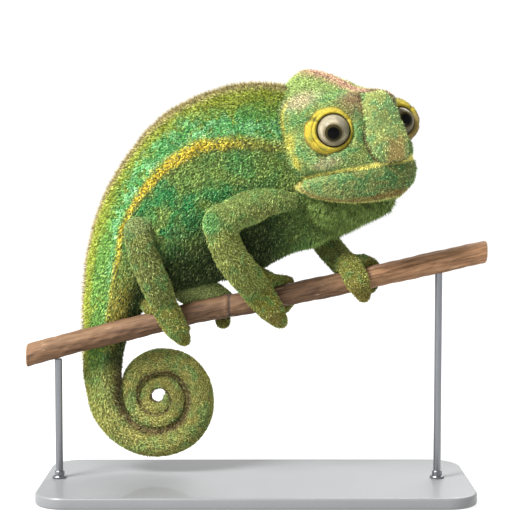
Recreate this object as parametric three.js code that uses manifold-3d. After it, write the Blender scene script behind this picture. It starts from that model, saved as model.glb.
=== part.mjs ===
// A plush chameleon that grips a cut length of branch, on a plain display stand.
// Millimetres, +Z up. The animal faces +X, with its head turned towards -Y.
// The origin is the centre of the stand's underside.
import * as THREE from "three";
import { mergeVertices } from "three/addons/utils/BufferGeometryUtils.js";
import Module from "manifold-3d";

const wasm = await Module();
wasm.setup();

// ---- Driving dimensions ----
const GAP = 0.3; // between any two pieces that touch

const PERCH = { radius: 8, reach: 161, height: 132.2, slope: 12.8, sides: 12, steps: 8 };
const BASE = { length: 300, depth: 124, thick: 8, corner: 22, bevel: 1 };
const ROD = { radius: 2.6, sides: 12, left: -139, right: 128 };

const HEAD = { x: 74.3, y: -38, z: 255, yaw: -56, pitch: -11.5, roll: -7 };
const SKULL = { sides: 18, steps: 16 };
const JAW = { sides: 16, steps: 10 };
const THROAT = { sides: 14, steps: 7 };
const EYE = { forward: 0, out: 28.9, gaze: 34, ball: 12, sides: 12 };
const LIDS = { radius: 16.8, thick: 8.8, back: 2.2, up: 1, sunk: 1.4, sides: 11 };
const PAD = { proud: 2, crest: 10.6, brow: 12, nose: 15.5, top: 20, bottom: -26.5 };

const LIMB_SIDES = 8;
const TRUNK = { sides: 16, steps: 20 };
const CUTS = { loin: 0.55, rump: 0.8 }; // shares of the trunk's length
const SPLIT = GAP / 300; // a gap across the trunk, as a share of its length
const TAIL = { sides: 12, turn: 22.5, stop: 900, x: -70.3, y: 18, z: 63.2 };
const TURNS = { root: 96, outer: 326, middle: 596, gap: 1 }; // degrees

// ---- Solids ----
const v3 = (x, y, z) => new THREE.Vector3(x, y, z);

/** A closed geometry as a solid that can be cut and joined. */
function solid(geometry) {
  const bare = geometry.clone();
  bare.deleteAttribute("normal");
  bare.deleteAttribute("uv");
  const merged = mergeVertices(bare, 1e-4);
  return new wasm.Manifold(
    new wasm.Mesh({
      numProp: 3,
      vertProperties: merged.attributes.position.array,
      triVerts: new Uint32Array(merged.index.array),
    }),
  );
}

/** A solid as a geometry with flat faces, keeping its largest piece only. */
function geometryOf(made) {
  const body = made.decompose().sort((a, b) => b.volume() - a.volume())[0];
  const mesh = body.getMesh();
  const places = new Float32Array(mesh.numVert * 3);
  for (let i = 0; i < mesh.numVert; i++) {
    const at = i * mesh.numProp;
    places.set(mesh.vertProperties.subarray(at, at + 3), i * 3);
  }
  const flat = new THREE.BufferGeometry()
    .setAttribute("position", new THREE.BufferAttribute(places, 3))
    .setIndex(new THREE.BufferAttribute(mesh.triVerts, 1))
    .toNonIndexed();
  flat.computeVertexNormals();
  return flat;
}

const middleOf = (ring) => ring.reduce((sum, p) => sum.add(p), v3(0, 0, 0)).divideScalar(ring.length);

/** Joins rings of points, each with the same count, into one closed skin. */
function loft(rings) {
  const sides = rings[0].length;
  const first = rings.length * sides;
  const last = first - sides;
  const faces = [];
  for (let j = 0; j < sides; j++) {
    const k = (j + 1) % sides;
    for (let i = 0; i + 1 < rings.length; i++) {
      const [a, b] = [i * sides + j, i * sides + k];
      faces.push(a, b, b + sides, a, b + sides, a + sides);
    }
    faces.push(first, k, j, first + 1, last + j, last + k);
  }
  const points = [...rings.flat(), middleOf(rings[0]), middleOf(rings.at(-1))];
  const made = solid(new THREE.BufferGeometry().setFromPoints(points).setIndex(faces));
  if (made.volume() > 0) return made;
  return solid(new THREE.BufferGeometry().setFromPoints(points).setIndex(faces.reverse()));
}

/** A smooth curve through points in the plane Y = 0, given as [x, z]. */
function outline(points) {
  return new THREE.CatmullRomCurve3(points.map(([x, z]) => v3(x, 0, z)), false, "centripetal");
}

/** Reads a list of evenly spread numbers at a share from 0 to 1, smoothly. */
function along(values) {
  const line = new THREE.SplineCurve(values.map((v, i) => new THREE.Vector2(i, v)));
  return (t) => line.getPoint(THREE.MathUtils.clamp(t, 0, 1)).y;
}

/**
 * One closed section between a top and a bottom point, as wide as half each way.
 * Its upper part can have a width of its own (crown) and be thinned to a ridge.
 * Its corners can be squared, above and below its middle.
 */
function section({ top, bottom, half, crown = half, ridge = 0, square = [2, 2], sides, grow = 0 }) {
  const middle = top.clone().lerp(bottom, 0.5);
  const up = top.clone().sub(middle);
  const tall = up.length() + grow;
  up.normalize();
  const ring = [];
  for (let j = 0; j < sides; j++) {
    const angle = ((j + 0.5) / sides) * 2 * Math.PI;
    const power = 2 / square[angle < Math.PI ? 0 : 1];
    const [c, s] = [Math.cos(angle), Math.sin(angle)].map((v) => Math.sign(v) * Math.abs(v) ** power);
    const wide = THREE.MathUtils.lerp(crown, half, ((1 - s) / 2) ** 2);
    const thinned = s > 0 ? wide * (1 - ridge * s * s) : wide;
    ring.push(middle.clone().addScaledVector(up, tall * s).add(v3(0, (thinned + grow) * c, 0)));
  }
  return ring;
}

/** Moves the end rings outwards, so that a grown body is larger at its ends too. */
function pushEnds(rings, grow) {
  for (const [end, next] of [[0, 1], [-1, -2]].map((pair) => pair.map((i) => rings.at(i)))) {
    const out = middleOf(end).sub(middleOf(next)).setLength(grow);
    end.forEach((p) => p.add(out));
  }
}

/** A closed body whose sections run from one outline to another. */
function body({ top, bottom, half, crown = half, ridge = () => 0, square, sides, steps, grow }) {
  const rings = [];
  for (let i = 0; i <= steps; i++) {
    const t = i / steps;
    rings.push(
      section({
        top: top.getPoint(t),
        bottom: bottom.getPoint(t),
        half: half(t),
        crown: crown(t),
        ridge: ridge(t),
        square,
        sides,
        grow,
      }),
    );
  }
  if (grow > 0) pushEnds(rings, grow);
  return loft(rings);
}

/** A limb of round sections through stations given as [x, y, z, radius]. */
function limb(stations, steps = 4, grow = 0) {
  const line = new THREE.CatmullRomCurve3(stations.map((s) => v3(...s.slice(0, 3))));
  const radius = along(stations.map((s) => s[3]));
  const frames = line.computeFrenetFrames(steps, false);
  const rings = [];
  for (let i = 0; i <= steps; i++) {
    const centre = line.getPointAt(i / steps);
    const r = radius(line.getUtoTmapping(i / steps)) + grow;
    const ring = [];
    for (let j = 0; j < LIMB_SIDES; j++) {
      const angle = (j / LIMB_SIDES) * 2 * Math.PI;
      const across = frames.normals[i].clone().multiplyScalar(Math.cos(angle) * r);
      ring.push(across.addScaledVector(frames.binormals[i], Math.sin(angle) * r).add(centre));
    }
    rings.push(ring);
  }
  const dome = (ring, out) => {
    const middle = middleOf(ring);
    const r = ring[0].distanceTo(middle);
    const moved = (p, share, far) => p.clone().lerp(middle, share).addScaledVector(out, r * far);
    const shrunk = (share, far) => ring.map((p) => moved(p, share, far));
    return [shrunk(0.2, 0.55), shrunk(0.6, 0.88)];
  };
  const start = dome(rings[0], line.getTangentAt(0).negate()).reverse();
  return loft([...start, ...rings, ...dome(rings.at(-1), line.getTangentAt(1))]);
}

// ---- Trunk and tail: one body between the outline of the back and that of the belly ----
const BACK = outline([
  [46, 277],
  [24, 285.8],
  [-11, 287.7],
  [-44, 278.4],
  [-71, 261.8],
  [-95, 231.2],
  [-111.5, 199.5],
  [-120.4, 163],
  [-123.7, 132],
  [-124.5, 98],
  [-124.2, 80],
]);
const BELLY = outline([
  [74, 196],
  [54, 175],
  [24, 165.5],
  [-4, 151],
  [-24, 146.5],
  [-48, 140],
  [-66, 135],
  [-80, 124],
  [-89, 110],
  [-93.6, 96],
  [-96, 80],
]);
const GIRTH = along([22, 27, 29.5, 31, 31, 29, 25, 20, 16, 13.5, 12.7]);
const SIDEWAYS = along([-9, -3, 0, 2, 4, 7, 10, 13, 16.5, 18, 18]);

function trunkRing(t, sides, grow) {
  const shift = v3(0, SIDEWAYS(t), 0);
  const [top, bottom] = [BACK.getPoint(t).add(shift), BELLY.getPoint(t).add(shift)];
  return section({ top, bottom, half: GIRTH(t), ridge: 0.14, sides, grow });
}

/** A stretch of the trunk, from one share of its length to another. */
function trunk(from, to, grow = 0) {
  const steps = Math.ceil((to - from) * TRUNK.steps);
  const rings = [];
  for (let i = 0; i <= steps; i++) {
    rings.push(trunkRing(THREE.MathUtils.lerp(from, to, i / steps), TRUNK.sides, grow));
  }
  return loft(rings);
}

// The coil's outer radius at each eighth of a turn, from where the tail points straight down.
const COIL_RADII = [
  [51, 46, 44.2, 43.4, 40.4, 38, 34.6, 31, 26.2, 24, 23.2, 22],
  [19.8, 18, 15.4, 14, 13.2, 13, 12.2, 10.4, 7.6, 6, 5, 4.4, 3.9, 3.6, 3.4, 3.2, 3],
].flat();
const COIL = along(COIL_RADII);
const coilRadius = (degrees) => COIL(degrees / 45 / (COIL_RADII.length - 1));

/** The tail's section after it has turned by so many degrees. */
function tailRing(degrees, grow = 0) {
  const angle = THREE.MathUtils.degToRad(180 + degrees);
  const at = (r) => v3(TAIL.x + r * Math.cos(angle), TAIL.y, TAIL.z + r * Math.sin(angle));
  const outer = coilRadius(degrees);
  const inner = coilRadius(degrees + 360) + GAP * 2;
  const half = (outer - inner) / 2;
  return section({ top: at(outer), bottom: at(inner), half, sides: TAIL.sides, grow });
}

/** A length of the coiled tail. */
function tail(from, to, before = [], after = [], grow = 0) {
  const steps = Math.round((to - from) / TAIL.turn);
  const rings = [];
  for (let i = 0; i <= steps; i++) {
    rings.push(tailRing(THREE.MathUtils.lerp(from, to, i / steps), grow));
  }
  return loft([...before, ...rings, ...after]);
}

/** The root of the tail, which starts as part of the trunk's outline. */
function tailRoot(grow = 0, steps = 4) {
  const rings = [];
  for (let i = 0; i <= steps; i++) {
    rings.push(trunkRing(THREE.MathUtils.lerp(CUTS.rump, 1, i / steps), TAIL.sides, grow));
  }
  return tail(TAIL.turn / 4, TURNS.root, rings, [], grow);
}

/** The tail's rounded tip. */
function tailTip() {
  const shrunk = (degrees, share) => {
    const ring = tailRing(degrees);
    const middle = middleOf(ring);
    return ring.map((p) => p.clone().lerp(middle, share));
  };
  return [shrunk(TAIL.stop + 14, 0.3), shrunk(TAIL.stop + 24, 0.7)];
}

// ---- Head, in a frame of its own: +X forward, +Y left, +Z up, between the eyes ----
const headTurn = [-HEAD.roll, HEAD.pitch, HEAD.yaw].map(THREE.MathUtils.degToRad);
const headFrame = new THREE.Matrix4().compose(
  v3(HEAD.x, HEAD.y, HEAD.z),
  new THREE.Quaternion().setFromEuler(new THREE.Euler(...headTurn, "ZYX")),
  v3(1, 1, 1),
);
const placed = (made) => made.transform(headFrame.elements);

function skull(grow = 0) {
  return body({
    top: outline([
      [-73, 22],
      [-74.5, 34],
      [-71.5, 47],
      [-60, 53],
      [-49, 52.5],
      [-36, 47.3],
      [-24, 40.3],
      [-14, 33.6],
      [-6, 27.9],
      [1.5, 24.6],
      [8, 22.8],
      [13.5, 19.5],
      [18, 12.5],
      [20.5, 5],
      [21, -4],
      [21.5, -12],
    ]),
    bottom: outline([
      [-70, 8],
      [-66, -6],
      [-60, -19],
      [-54, -23.4],
      [-46, -24.6],
      [-36, -24.9],
      [-26, -25.3],
      [-17, -25.8],
      [-10, -26.3],
      [-3, -26.9],
      [3, -27.5],
      [8, -28],
      [12.5, -28.4],
      [16, -28.6],
      [19, -27.4],
      [20.5, -21],
    ]),
    half: along([18, 27, 34, 37, 38.4, 39.2, 39.6, 39.4, 38.8, 37.6, 35.6, 32.6, 27.6, 21, 14.5, 8]),
    crown: along([18, 26, 32, 35, 36, 37, 36.5, 35, 34, 32.5, 28.5, 22, 16, 13.5, 11, 7]),
    ridge: along([0.2, 0.5, 0.72, 0.8, 0.8, 0.76, 0.68, 0.52, 0.32, 0.14, 0.06, 0, 0, 0, 0, 0]),
    square: [2.5, 4.5],
    sides: SKULL.sides,
    steps: SKULL.steps,
    grow,
  });
}

function jaw(grow = 0) {
  return body({
    top: outline([
      [-53, -25.1],
      [-43, -25.3],
      [-30, -25.7],
      [-17, -26.4],
      [-5, -27.3],
      [4, -28.2],
      [11, -28.9],
      [17, -29.3],
      [20.5, -31.5],
    ]),
    bottom: outline([
      [-52, -30],
      [-42, -37],
      [-30, -43],
      [-17, -48],
      [-6, -51],
      [3, -52.6],
      [10, -52.6],
      [15.5, -50],
      [19, -43],
    ]),
    half: along([29, 30, 30, 29, 26, 20, 14, 9, 6]),
    crown: along([34, 37.6, 39.4, 39.6, 37, 32.4, 26, 17.5, 9]),
    square: [4, 2.2],
    sides: JAW.sides,
    steps: JAW.steps,
    grow,
  });
}

function throat(grow = 0) {
  return body({
    top: outline([
      [-62, -18],
      [-48, -22],
      [-32, -25],
      [-18, -28],
      [-6, -32],
      [2, -37],
      [7, -43],
    ]),
    bottom: outline([
      [-62, -70.8],
      [-49, -67.4],
      [-34, -65.2],
      [-19, -63.8],
      [-6, -62.6],
      [5, -59.5],
      [13, -54.5],
    ]),
    half: along([25, 27, 24, 20, 15.5, 11, 6]),
    crown: along([28, 33, 32, 29, 24, 18, 8]),
    square: [2.4, 2],
    sides: THROAT.sides,
    steps: THROAT.steps,
    grow,
  });
}

/** An ellipsoid, thin along the way an eye looks, on the left with side 1. */
function eyeRound(side, radius, thick, sunk, back, up, sides) {
  const gaze = THREE.MathUtils.degToRad(EYE.gaze) * side;
  const geometry = new THREE.SphereGeometry(1, sides, Math.round(sides * 0.6));
  geometry.rotateZ(-Math.PI / 2).scale(thick, radius, radius);
  geometry.translate(-sunk, back * side, up).rotateZ(gaze);
  return solid(geometry.translate(EYE.forward, EYE.out * side, 0));
}

const eyeball = (side, grow = 0) => eyeRound(side, EYE.ball + grow, EYE.ball + grow, 0, 0, 0, EYE.sides);

function lids(side, grow = 0) {
  return eyeRound(side, LIDS.radius + grow, LIDS.thick + grow, LIDS.sunk, LIDS.back, LIDS.up, LIDS.sides);
}

/** The raised strip down the middle of the snout, as a prism that its skin is cut from. */
function padPrism() {
  const { crest, brow, nose, top, bottom } = PAD;
  const shape = new THREE.Shape();
  shape.moveTo(-crest, top);
  shape.bezierCurveTo(-brow, top * 0.2, -nose, bottom * 0.2, -nose, bottom * 0.45);
  shape.bezierCurveTo(-nose, bottom * 0.85, -nose * 0.5, bottom, 0, bottom);
  shape.bezierCurveTo(nose * 0.5, bottom, nose, bottom * 0.85, nose, bottom * 0.45);
  shape.bezierCurveTo(nose, bottom * 0.2, brow, top * 0.2, crest, top);
  const prism = new THREE.ExtrudeGeometry(shape, { depth: 60, bevelEnabled: false, curveSegments: 3 });
  return solid(prism.rotateX(Math.PI / 2).rotateZ(Math.PI / 2));
}

// ---- Perch and stand ----
const slope = THREE.MathUtils.degToRad(PERCH.slope);
const perchHeight = (x) => PERCH.height + x * Math.tan(slope);

/** A station by its distance along the perch, out from it towards -Y, and up from it. */
function onPerch([far, out, up, radius]) {
  const x = far * Math.cos(slope) - up * Math.sin(slope);
  const z = PERCH.height + far * Math.sin(slope) + up * Math.cos(slope);
  return [x, -out, z, radius];
}

function perch(grow = 0) {
  const r = PERCH.radius + grow;
  const rings = [];
  for (let i = 0; i <= PERCH.steps; i++) {
    const x = THREE.MathUtils.lerp(-1, 1, i / PERCH.steps) * (PERCH.reach + grow);
    const ring = [];
    for (let j = 0; j < PERCH.sides; j++) {
      const angle = ((j + 0.5) / PERCH.sides) * 2 * Math.PI;
      const rise = (r * Math.sin(angle)) / Math.cos(slope);
      ring.push(v3(x, r * Math.cos(angle), perchHeight(x) + rise));
    }
    rings.push(ring);
  }
  return loft(rings);
}

function base() {
  const [l, d, r] = [BASE.length / 2 - BASE.bevel, BASE.depth / 2 - BASE.bevel, BASE.corner];
  const plan = new THREE.Shape();
  plan.absarc(l - r, d - r, r, 0, Math.PI / 2);
  plan.absarc(-l + r, d - r, r, Math.PI / 2, Math.PI);
  plan.absarc(-l + r, -d + r, r, Math.PI, Math.PI * 1.5);
  plan.absarc(l - r, -d + r, r, Math.PI * 1.5, Math.PI * 2);
  const plate = new THREE.ExtrudeGeometry(plan, {
    depth: BASE.thick - 2 * BASE.bevel,
    bevelSize: BASE.bevel,
    bevelThickness: BASE.bevel,
    bevelSegments: 1,
    curveSegments: 4,
  });
  return solid(plate.translate(0, 0, BASE.bevel));
}

function rod(x) {
  const [top, bottom] = [perchHeight(x), BASE.thick + GAP];
  const made = new THREE.CylinderGeometry(ROD.radius, ROD.radius, top - bottom, ROD.sides);
  return solid(made.rotateX(Math.PI / 2).translate(x, 0, (top + bottom) / 2)).subtract(perch(GAP));
}

// ---- Limbs: the upper and lower lengths in space, the two toe bundles on the perch ----
const LEGS = {
  right_fore: {
    upper: [[24, -18, 207, 13.5], [5, -27, 203, 12.4], [-11, -33, 197.5, 11.8], [-25, -35.5, 191, 12]],
    lower: [[-25, -35.5, 190, 12], [-21, -33.5, 174, 12], [-12.5, -28, 160, 12.2], [-4, -20, 149, 12.2]],
    front: [[-0.5, 13, 16, 11.8], [5.4, 14.8, 3.5, 11.8], [10.4, 13.8, -9, 9.4], [13.8, 9.8, -15.3, 7]],
    back: [[6, 8, 16, 8], [16, -1, 12, 6.4], [25.5, -8, 9.4, 6], [28, -13.8, 0, 5.6], [17.5, -10, -10, 5]],
  },
  right_hind: {
    upper: [[-60, 0, 168, 14], [-70, -9, 177, 12.5], [-81, -19, 185.5, 11.2]],
    lower: [[-81, -20, 184, 11], [-77.5, -22.5, 169, 11], [-72, -21, 154, 11.2], [-66.5, -17.5, 141, 11]],
    front: [[-63, 12, 17.5, 10.6], [-59.6, 15, 5, 10.4], [-56.8, 13.8, -6, 9], [-54.2, 9.8, -12.5, 6.6]],
    back: [[-65, 7, 16, 7.5], [-76, -4, 12.2, 6.6], [-68, -13.8, 2, 5.4], [-52.5, -9.5, -7.5, 5]],
  },
  left_fore: {
    upper: [[40, 10, 196, 13], [44, 20, 186, 12], [48.5, 25, 177, 11.2]],
    lower: [[48.5, 25, 175, 10.8], [55, 19, 166.5, 10.6], [62, 9, 159, 10.4], [66, 1, 154.5, 9.8]],
    front: [[68, 0, 13, 9.4], [71, 13, 5, 10], [73, 13, -5, 9.2], [74, 9.4, -10.2, 6.8]],
    back: [[72, 0, 12, 7.4], [83, -5, 11.2, 6.4], [88, -13.5, 1, 5.6], [81, -10, -8.2, 6]],
  },
  left_hind: {
    upper: [[-56, 20, 160, 14], [-66, 31, 167, 12], [-74, 37, 173, 10.6]],
    lower: [[-74, 37, 172, 10.4], [-68, 35, 160, 10], [-60, 29, 150, 9.8], [-52, 20, 144, 9.4]],
    front: [[-48, -12, 16, 8.4], [-33, -5, 14, 6.4], [-21, -7, 12, 6.2], [-16.5, -13.8, 3, 5.4]],
    back: [[-47, -12, 15, 8], [-34, -15.5, 8, 7.4], [-25.5, -15.5, -1.5, 7.2], [-26.5, -9, -8.6, 7]],
  },
};
const SEGMENTS = { fore: ["upper_arm", "forearm"], hind: ["thigh", "shank"] };

// ---- Assembly ----
const GREEN = 0x7f9a4e;
const DARK_GREEN = 0x5d7a38;
const YELLOW = 0xd8bd3c;
const PALE_EYE = 0xcfc7b4;
const TAN = 0xa98d4f;
const BARK = 0x9a7558;
const WHITE = 0xe8e6e1;
const STEEL = 0xb8bcc0;

const chameleon = new THREE.Group();

function put(name, made, color, roughness = 0.95, metalness = 0) {
  const material = new THREE.MeshStandardMaterial({ color, roughness, metalness });
  const mesh = new THREE.Mesh(geometryOf(made), material);
  mesh.name = name;
  chameleon.add(mesh);
}

const eyesGrown = [1, -1].map((side) => lids(side, GAP).add(eyeball(side, GAP)));
const bothEyes = eyesGrown[0].add(eyesGrown[1]);
const headGrown = placed(skull(GAP).add(jaw(GAP)).add(throat(GAP)).add(bothEyes));
const trunkLengths = (grow) => [
  trunk(0, CUTS.loin - SPLIT, grow),
  trunk(CUTS.loin, CUTS.rump - SPLIT, grow),
  tailRoot(grow),
];
const [frontGrown, rearGrown, rootGrown] = trunkLengths(GAP);
const trunkGrown = frontGrown.add(rearGrown).add(rootGrown);
const perchGrown = perch(GAP);

put("head", placed(skull().subtract(bothEyes)), GREEN);
put("lower_jaw", placed(jaw().subtract(skull(GAP)).subtract(bothEyes)), GREEN);
put("throat", placed(throat().subtract(skull(GAP)).subtract(jaw(GAP))), GREEN);
const pad = skull(PAD.proud).intersect(padPrism()).subtract(skull(GAP));
put("snout_pad", placed(pad.subtract(jaw(GAP)).subtract(bothEyes)), TAN);
for (const [name, side] of [["left", 1], ["right", -1]]) {
  put(`eyelids_${name}`, placed(lids(side).subtract(eyeball(side, GAP))), YELLOW);
  put(`eye_${name}`, placed(eyeball(side)), PALE_EYE, 0.1);
}

const [front, rear, root] = trunkLengths(0);
put("trunk_front", front.subtract(headGrown), GREEN);
put("trunk_rear", rear.subtract(perchGrown), GREEN);
put("tail_root", root.subtract(perchGrown), GREEN);
put("tail_outer_coil", tail(TURNS.root + TURNS.gap, TURNS.outer), GREEN);
put("tail_middle_coil", tail(TURNS.outer + TURNS.gap * 2, TURNS.middle), GREEN);
put("tail_tip", tail(TURNS.middle + TURNS.gap * 2, TAIL.stop, [], tailTip()), GREEN);

for (const [name, leg] of Object.entries(LEGS)) {
  const [upperName, lowerName] = SEGMENTS[name.split("_")[1]];
  const blocked = trunkGrown.add(headGrown).add(perchGrown);
  const lower = limb(leg.lower).subtract(limb(leg.upper, 4, GAP)).subtract(blocked);
  const toes = limb(leg.front.map(onPerch), 3).add(limb(leg.back.map(onPerch)));
  const foot = toes.subtract(limb(leg.lower, 4, GAP)).subtract(blocked);
  put(`${name}_${upperName}`, limb(leg.upper).subtract(blocked), GREEN);
  put(`${name}_${lowerName}`, lower, DARK_GREEN);
  put(`${name}_foot`, foot, GREEN);
}

put("perch", perch(), BARK, 0.8);
put("stand_base", base(), WHITE, 0.6);
put("stand_rod_left", rod(ROD.left), STEEL, 0.35, 1);
put("stand_rod_right", rod(ROD.right), STEEL, 0.35, 1);

export default chameleon;
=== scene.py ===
"""The looks of a plush chameleon that grips a cut branch on a plain display stand.

Sizes are in millimetres until a mesh is made, and metres from there on. "Left" and "right"
are the animal's own: it faces +X, with its head turned to its right, towards -Y.
"""

import logging
import math
from dataclasses import dataclass, field, replace
from enum import Enum
from typing import Any, Iterable, Sequence

import bpy
import numpy as np
from mathutils import Euler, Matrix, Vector
from mathutils.bvhtree import BVHTree


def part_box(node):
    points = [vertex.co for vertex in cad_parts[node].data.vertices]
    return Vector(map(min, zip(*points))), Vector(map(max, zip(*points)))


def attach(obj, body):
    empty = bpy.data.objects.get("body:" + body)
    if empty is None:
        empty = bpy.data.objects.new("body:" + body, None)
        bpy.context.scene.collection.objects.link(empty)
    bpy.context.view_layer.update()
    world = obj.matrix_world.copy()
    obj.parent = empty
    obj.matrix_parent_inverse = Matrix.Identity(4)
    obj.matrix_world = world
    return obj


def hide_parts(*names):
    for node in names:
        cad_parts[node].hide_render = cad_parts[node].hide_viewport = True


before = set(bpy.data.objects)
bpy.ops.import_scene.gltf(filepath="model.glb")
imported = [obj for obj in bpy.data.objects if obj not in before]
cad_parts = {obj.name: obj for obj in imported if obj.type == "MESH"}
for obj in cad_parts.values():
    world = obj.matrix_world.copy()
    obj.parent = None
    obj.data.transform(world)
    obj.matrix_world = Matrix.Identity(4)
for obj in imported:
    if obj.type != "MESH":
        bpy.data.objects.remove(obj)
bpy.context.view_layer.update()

MM = 0.001
ROOT = "root"
LOG = logging.getLogger("plush_chameleon")

Array = np.ndarray
Triple = tuple[float, float, float]
Faces = list[tuple[int, ...]]
Socket = bpy.types.NodeSocket


# ---- Small helpers -------------------------------------------------------------------------


def paint(red: int, green: int, blue: int) -> Triple:
    """Turns a display colour of three bytes into the linear light that shaders use."""
    parts = [value / 255 for value in (red, green, blue)]
    return tuple(v / 12.92 if v <= 0.04045 else ((v + 0.055) / 1.055) ** 2.4 for v in parts)


def smooth(value: Array, low: float, high: float) -> Array:
    """Rises smoothly from 0 at low to 1 at high."""
    share = np.clip((value - low) / (high - low), 0, 1)
    return share * share * (3 - 2 * share)


def bell(value: Array, width: float) -> Array:
    """A soft bump of height 1 about zero, with the given half width."""
    return np.exp(-((value / width) ** 2))


def unit(vectors: Array) -> Array:
    """Scales each row to length 1."""
    return vectors / np.maximum(np.linalg.norm(vectors, axis=-1, keepdims=True), 1e-9)


@dataclass(frozen=True)
class Curve:
    """A smooth curve through control points, read at shares from 0 to 1.

    A power of 0.5 eases the bends of an outline, and 0 suits a list of evenly spread numbers.
    """

    points: Sequence[Any]
    power: float = 0.0

    def at(self, share: Array) -> Array:
        """Reads the curve.

        Args:
            share: places along the curve, from 0 to 1.

        Returns:
            One row for each place, or plain numbers where the points are numbers.
        """
        spots = np.asarray(self.points, float).reshape(len(self.points), -1)
        ends = np.vstack([2 * spots[0] - spots[1], spots, 2 * spots[-1] - spots[-2]])
        place = np.clip(share, 0, 1) * (len(spots) - 1)
        cell = np.minimum(place.astype(int), len(spots) - 2)
        rest = (place - cell)[:, None]
        a, b, c, d = (ends[cell + k] for k in range(4))

        def knot(start: Array, end: Array) -> Array:
            """The share of the curve's own measure between two points."""
            return np.maximum(np.linalg.norm(end - start, axis=1)[:, None], 1e-6) ** self.power

        before, here, after = knot(a, b), knot(b, c), knot(c, d)
        leave = ((b - a) / before - (c - a) / (before + here) + (c - b) / here) * here
        reach = ((c - b) / here - (d - b) / (here + after) + (d - c) / after) * here
        made = b + leave * rest + (3 * (c - b) - 2 * leave - reach) * rest**2
        made = made + (2 * (b - c) + leave + reach) * rest**3
        return made[:, 0] if spots.shape[1] == 1 else made


def put_in_scene(name: str, data: Any) -> bpy.types.Object:
    """Makes an object of a mesh, a light or a camera and links it to the scene."""
    made = bpy.data.objects.new(name, data)
    bpy.context.scene.collection.objects.link(made)
    return made


def new_mesh(name: str, points: Array, faces: Iterable[Sequence[int]]) -> bpy.types.Object:
    """Makes an object from points in millimetres and faces, and links it to the scene."""
    mesh = bpy.data.meshes.new(name)
    mesh.from_pydata((np.asarray(points) * MM).tolist(), [], [tuple(f) for f in faces])
    mesh.update()
    return put_in_scene(name, mesh)


def round_turn(sides: int) -> Array:
    """Evenly spread angles once round, in radians."""
    return np.arange(sides) / sides * 2 * np.pi


def grid_faces(rings: int, sides: int, closed: bool = True) -> Faces:
    """The four-cornered faces of a tube of rings, with its two ends closed if asked."""
    faces = []
    for i in range(rings - 1):
        for j in range(sides):
            k = (j + 1) % sides
            faces.append((i * sides + j, i * sides + k, (i + 1) * sides + k, (i + 1) * sides + j))
    if closed:
        faces.append(tuple(range(sides))[::-1])
        faces.append(tuple(range((rings - 1) * sides, rings * sides)))
    return faces


def read_points(mesh: bpy.types.Mesh) -> Array:
    """A mesh's points in millimetres."""
    flat = np.empty(len(mesh.vertices) * 3, np.float32)
    mesh.vertices.foreach_get("co", flat)
    return flat.reshape(-1, 3).astype(float) / MM


def write_points(mesh: bpy.types.Mesh, points: Array) -> None:
    """Moves a mesh's points to places in millimetres."""
    mesh.vertices.foreach_set("co", (points * MM).astype(np.float32).ravel())
    mesh.update()


def read_normals(mesh: bpy.types.Mesh) -> Array:
    """The outward direction at each of a mesh's points."""
    flat = np.empty(len(mesh.vertices) * 3, np.float32)
    mesh.vertices.foreach_get("normal", flat)
    return flat.reshape(-1, 3).astype(float)


def read_edges(mesh: bpy.types.Mesh) -> Array:
    """The two point numbers of each edge."""
    flat = np.empty(len(mesh.edges) * 2, np.int32)
    mesh.edges.foreach_get("vertices", flat)
    return flat.reshape(-1, 2)


def read_corners(mesh: bpy.types.Mesh) -> Array:
    """The point number at each corner of a mesh's faces."""
    numbers = np.empty(len(mesh.loops), np.int32)
    mesh.loops.foreach_get("vertex_index", numbers)
    return numbers


def put_attribute(mesh: bpy.types.Mesh, name: str, values: Array) -> None:
    """Stores one number, or one vector, at each point of a mesh."""
    vector = values.ndim == 2
    made = mesh.attributes.new(name, "FLOAT_VECTOR" if vector else "FLOAT", "POINT")
    made.data.foreach_set("vector" if vector else "value", values.astype(np.float32).ravel())


def relax(edges: Array, values: Array, rounds: int, share: float = 0.5) -> Array:
    """Evens out values over a mesh by moving each towards the mean of its neighbours.

    Args:
        edges: the mesh's edges.
        values: one row of numbers for each point.
        rounds: how many times to move them.
        share: how far each round goes towards the mean.

    Returns:
        The evened values.
    """
    count = len(values)
    table = values.reshape(count, -1).copy()
    starts, ends = edges[:, 0], edges[:, 1]
    degree = np.maximum(np.bincount(edges.ravel(), minlength=count), 1)
    for _ in range(rounds):
        for column in table.T:
            total = np.bincount(starts, column[ends], count) + np.bincount(ends, column[starts], count)
            column += share * (total / degree - column)
    return table.reshape(values.shape)


def baked_copy(source: bpy.types.Object, name: str) -> bpy.types.Object:
    """A plain mesh of what an object's modifiers make of it. The source is removed."""
    graph = bpy.context.evaluated_depsgraph_get()
    mesh = bpy.data.meshes.new_from_object(source.evaluated_get(graph))
    bpy.data.objects.remove(source)
    mesh.name = name
    return put_in_scene(name, mesh)


def voxel_skin(source: bpy.types.Object, name: str, voxel: float) -> bpy.types.Object:
    """One closed skin round everything in a mesh, with faces of the given size."""
    change = source.modifiers.new("skin", "REMESH")
    change.mode = "VOXEL"
    change.voxel_size = voxel * MM
    return baked_copy(source, name)


def joined(shells: Iterable[tuple[Array, Faces]]) -> tuple[Array, Faces]:
    """The points and the faces of several closed shells as one list of each."""
    points, faces, start = [], [], 0
    for spots, sides in shells:
        points.append(spots)
        faces += [tuple(corner + start for corner in face) for face in sides]
        start += len(spots)
    return np.vstack(points), faces


def flat_ends(mesh: bpy.types.Mesh) -> None:
    """Shades a tube smooth, but for the two ends that close it."""
    mesh.shade_smooth()
    for face in mesh.polygons[-2:]:
        face.use_smooth = False


def node_box(name: str) -> tuple[Array, Array]:
    """The low and the high corner of a CAD node's box in millimetres."""
    low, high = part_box(name)
    return np.array(low) / MM, np.array(high) / MM


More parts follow.
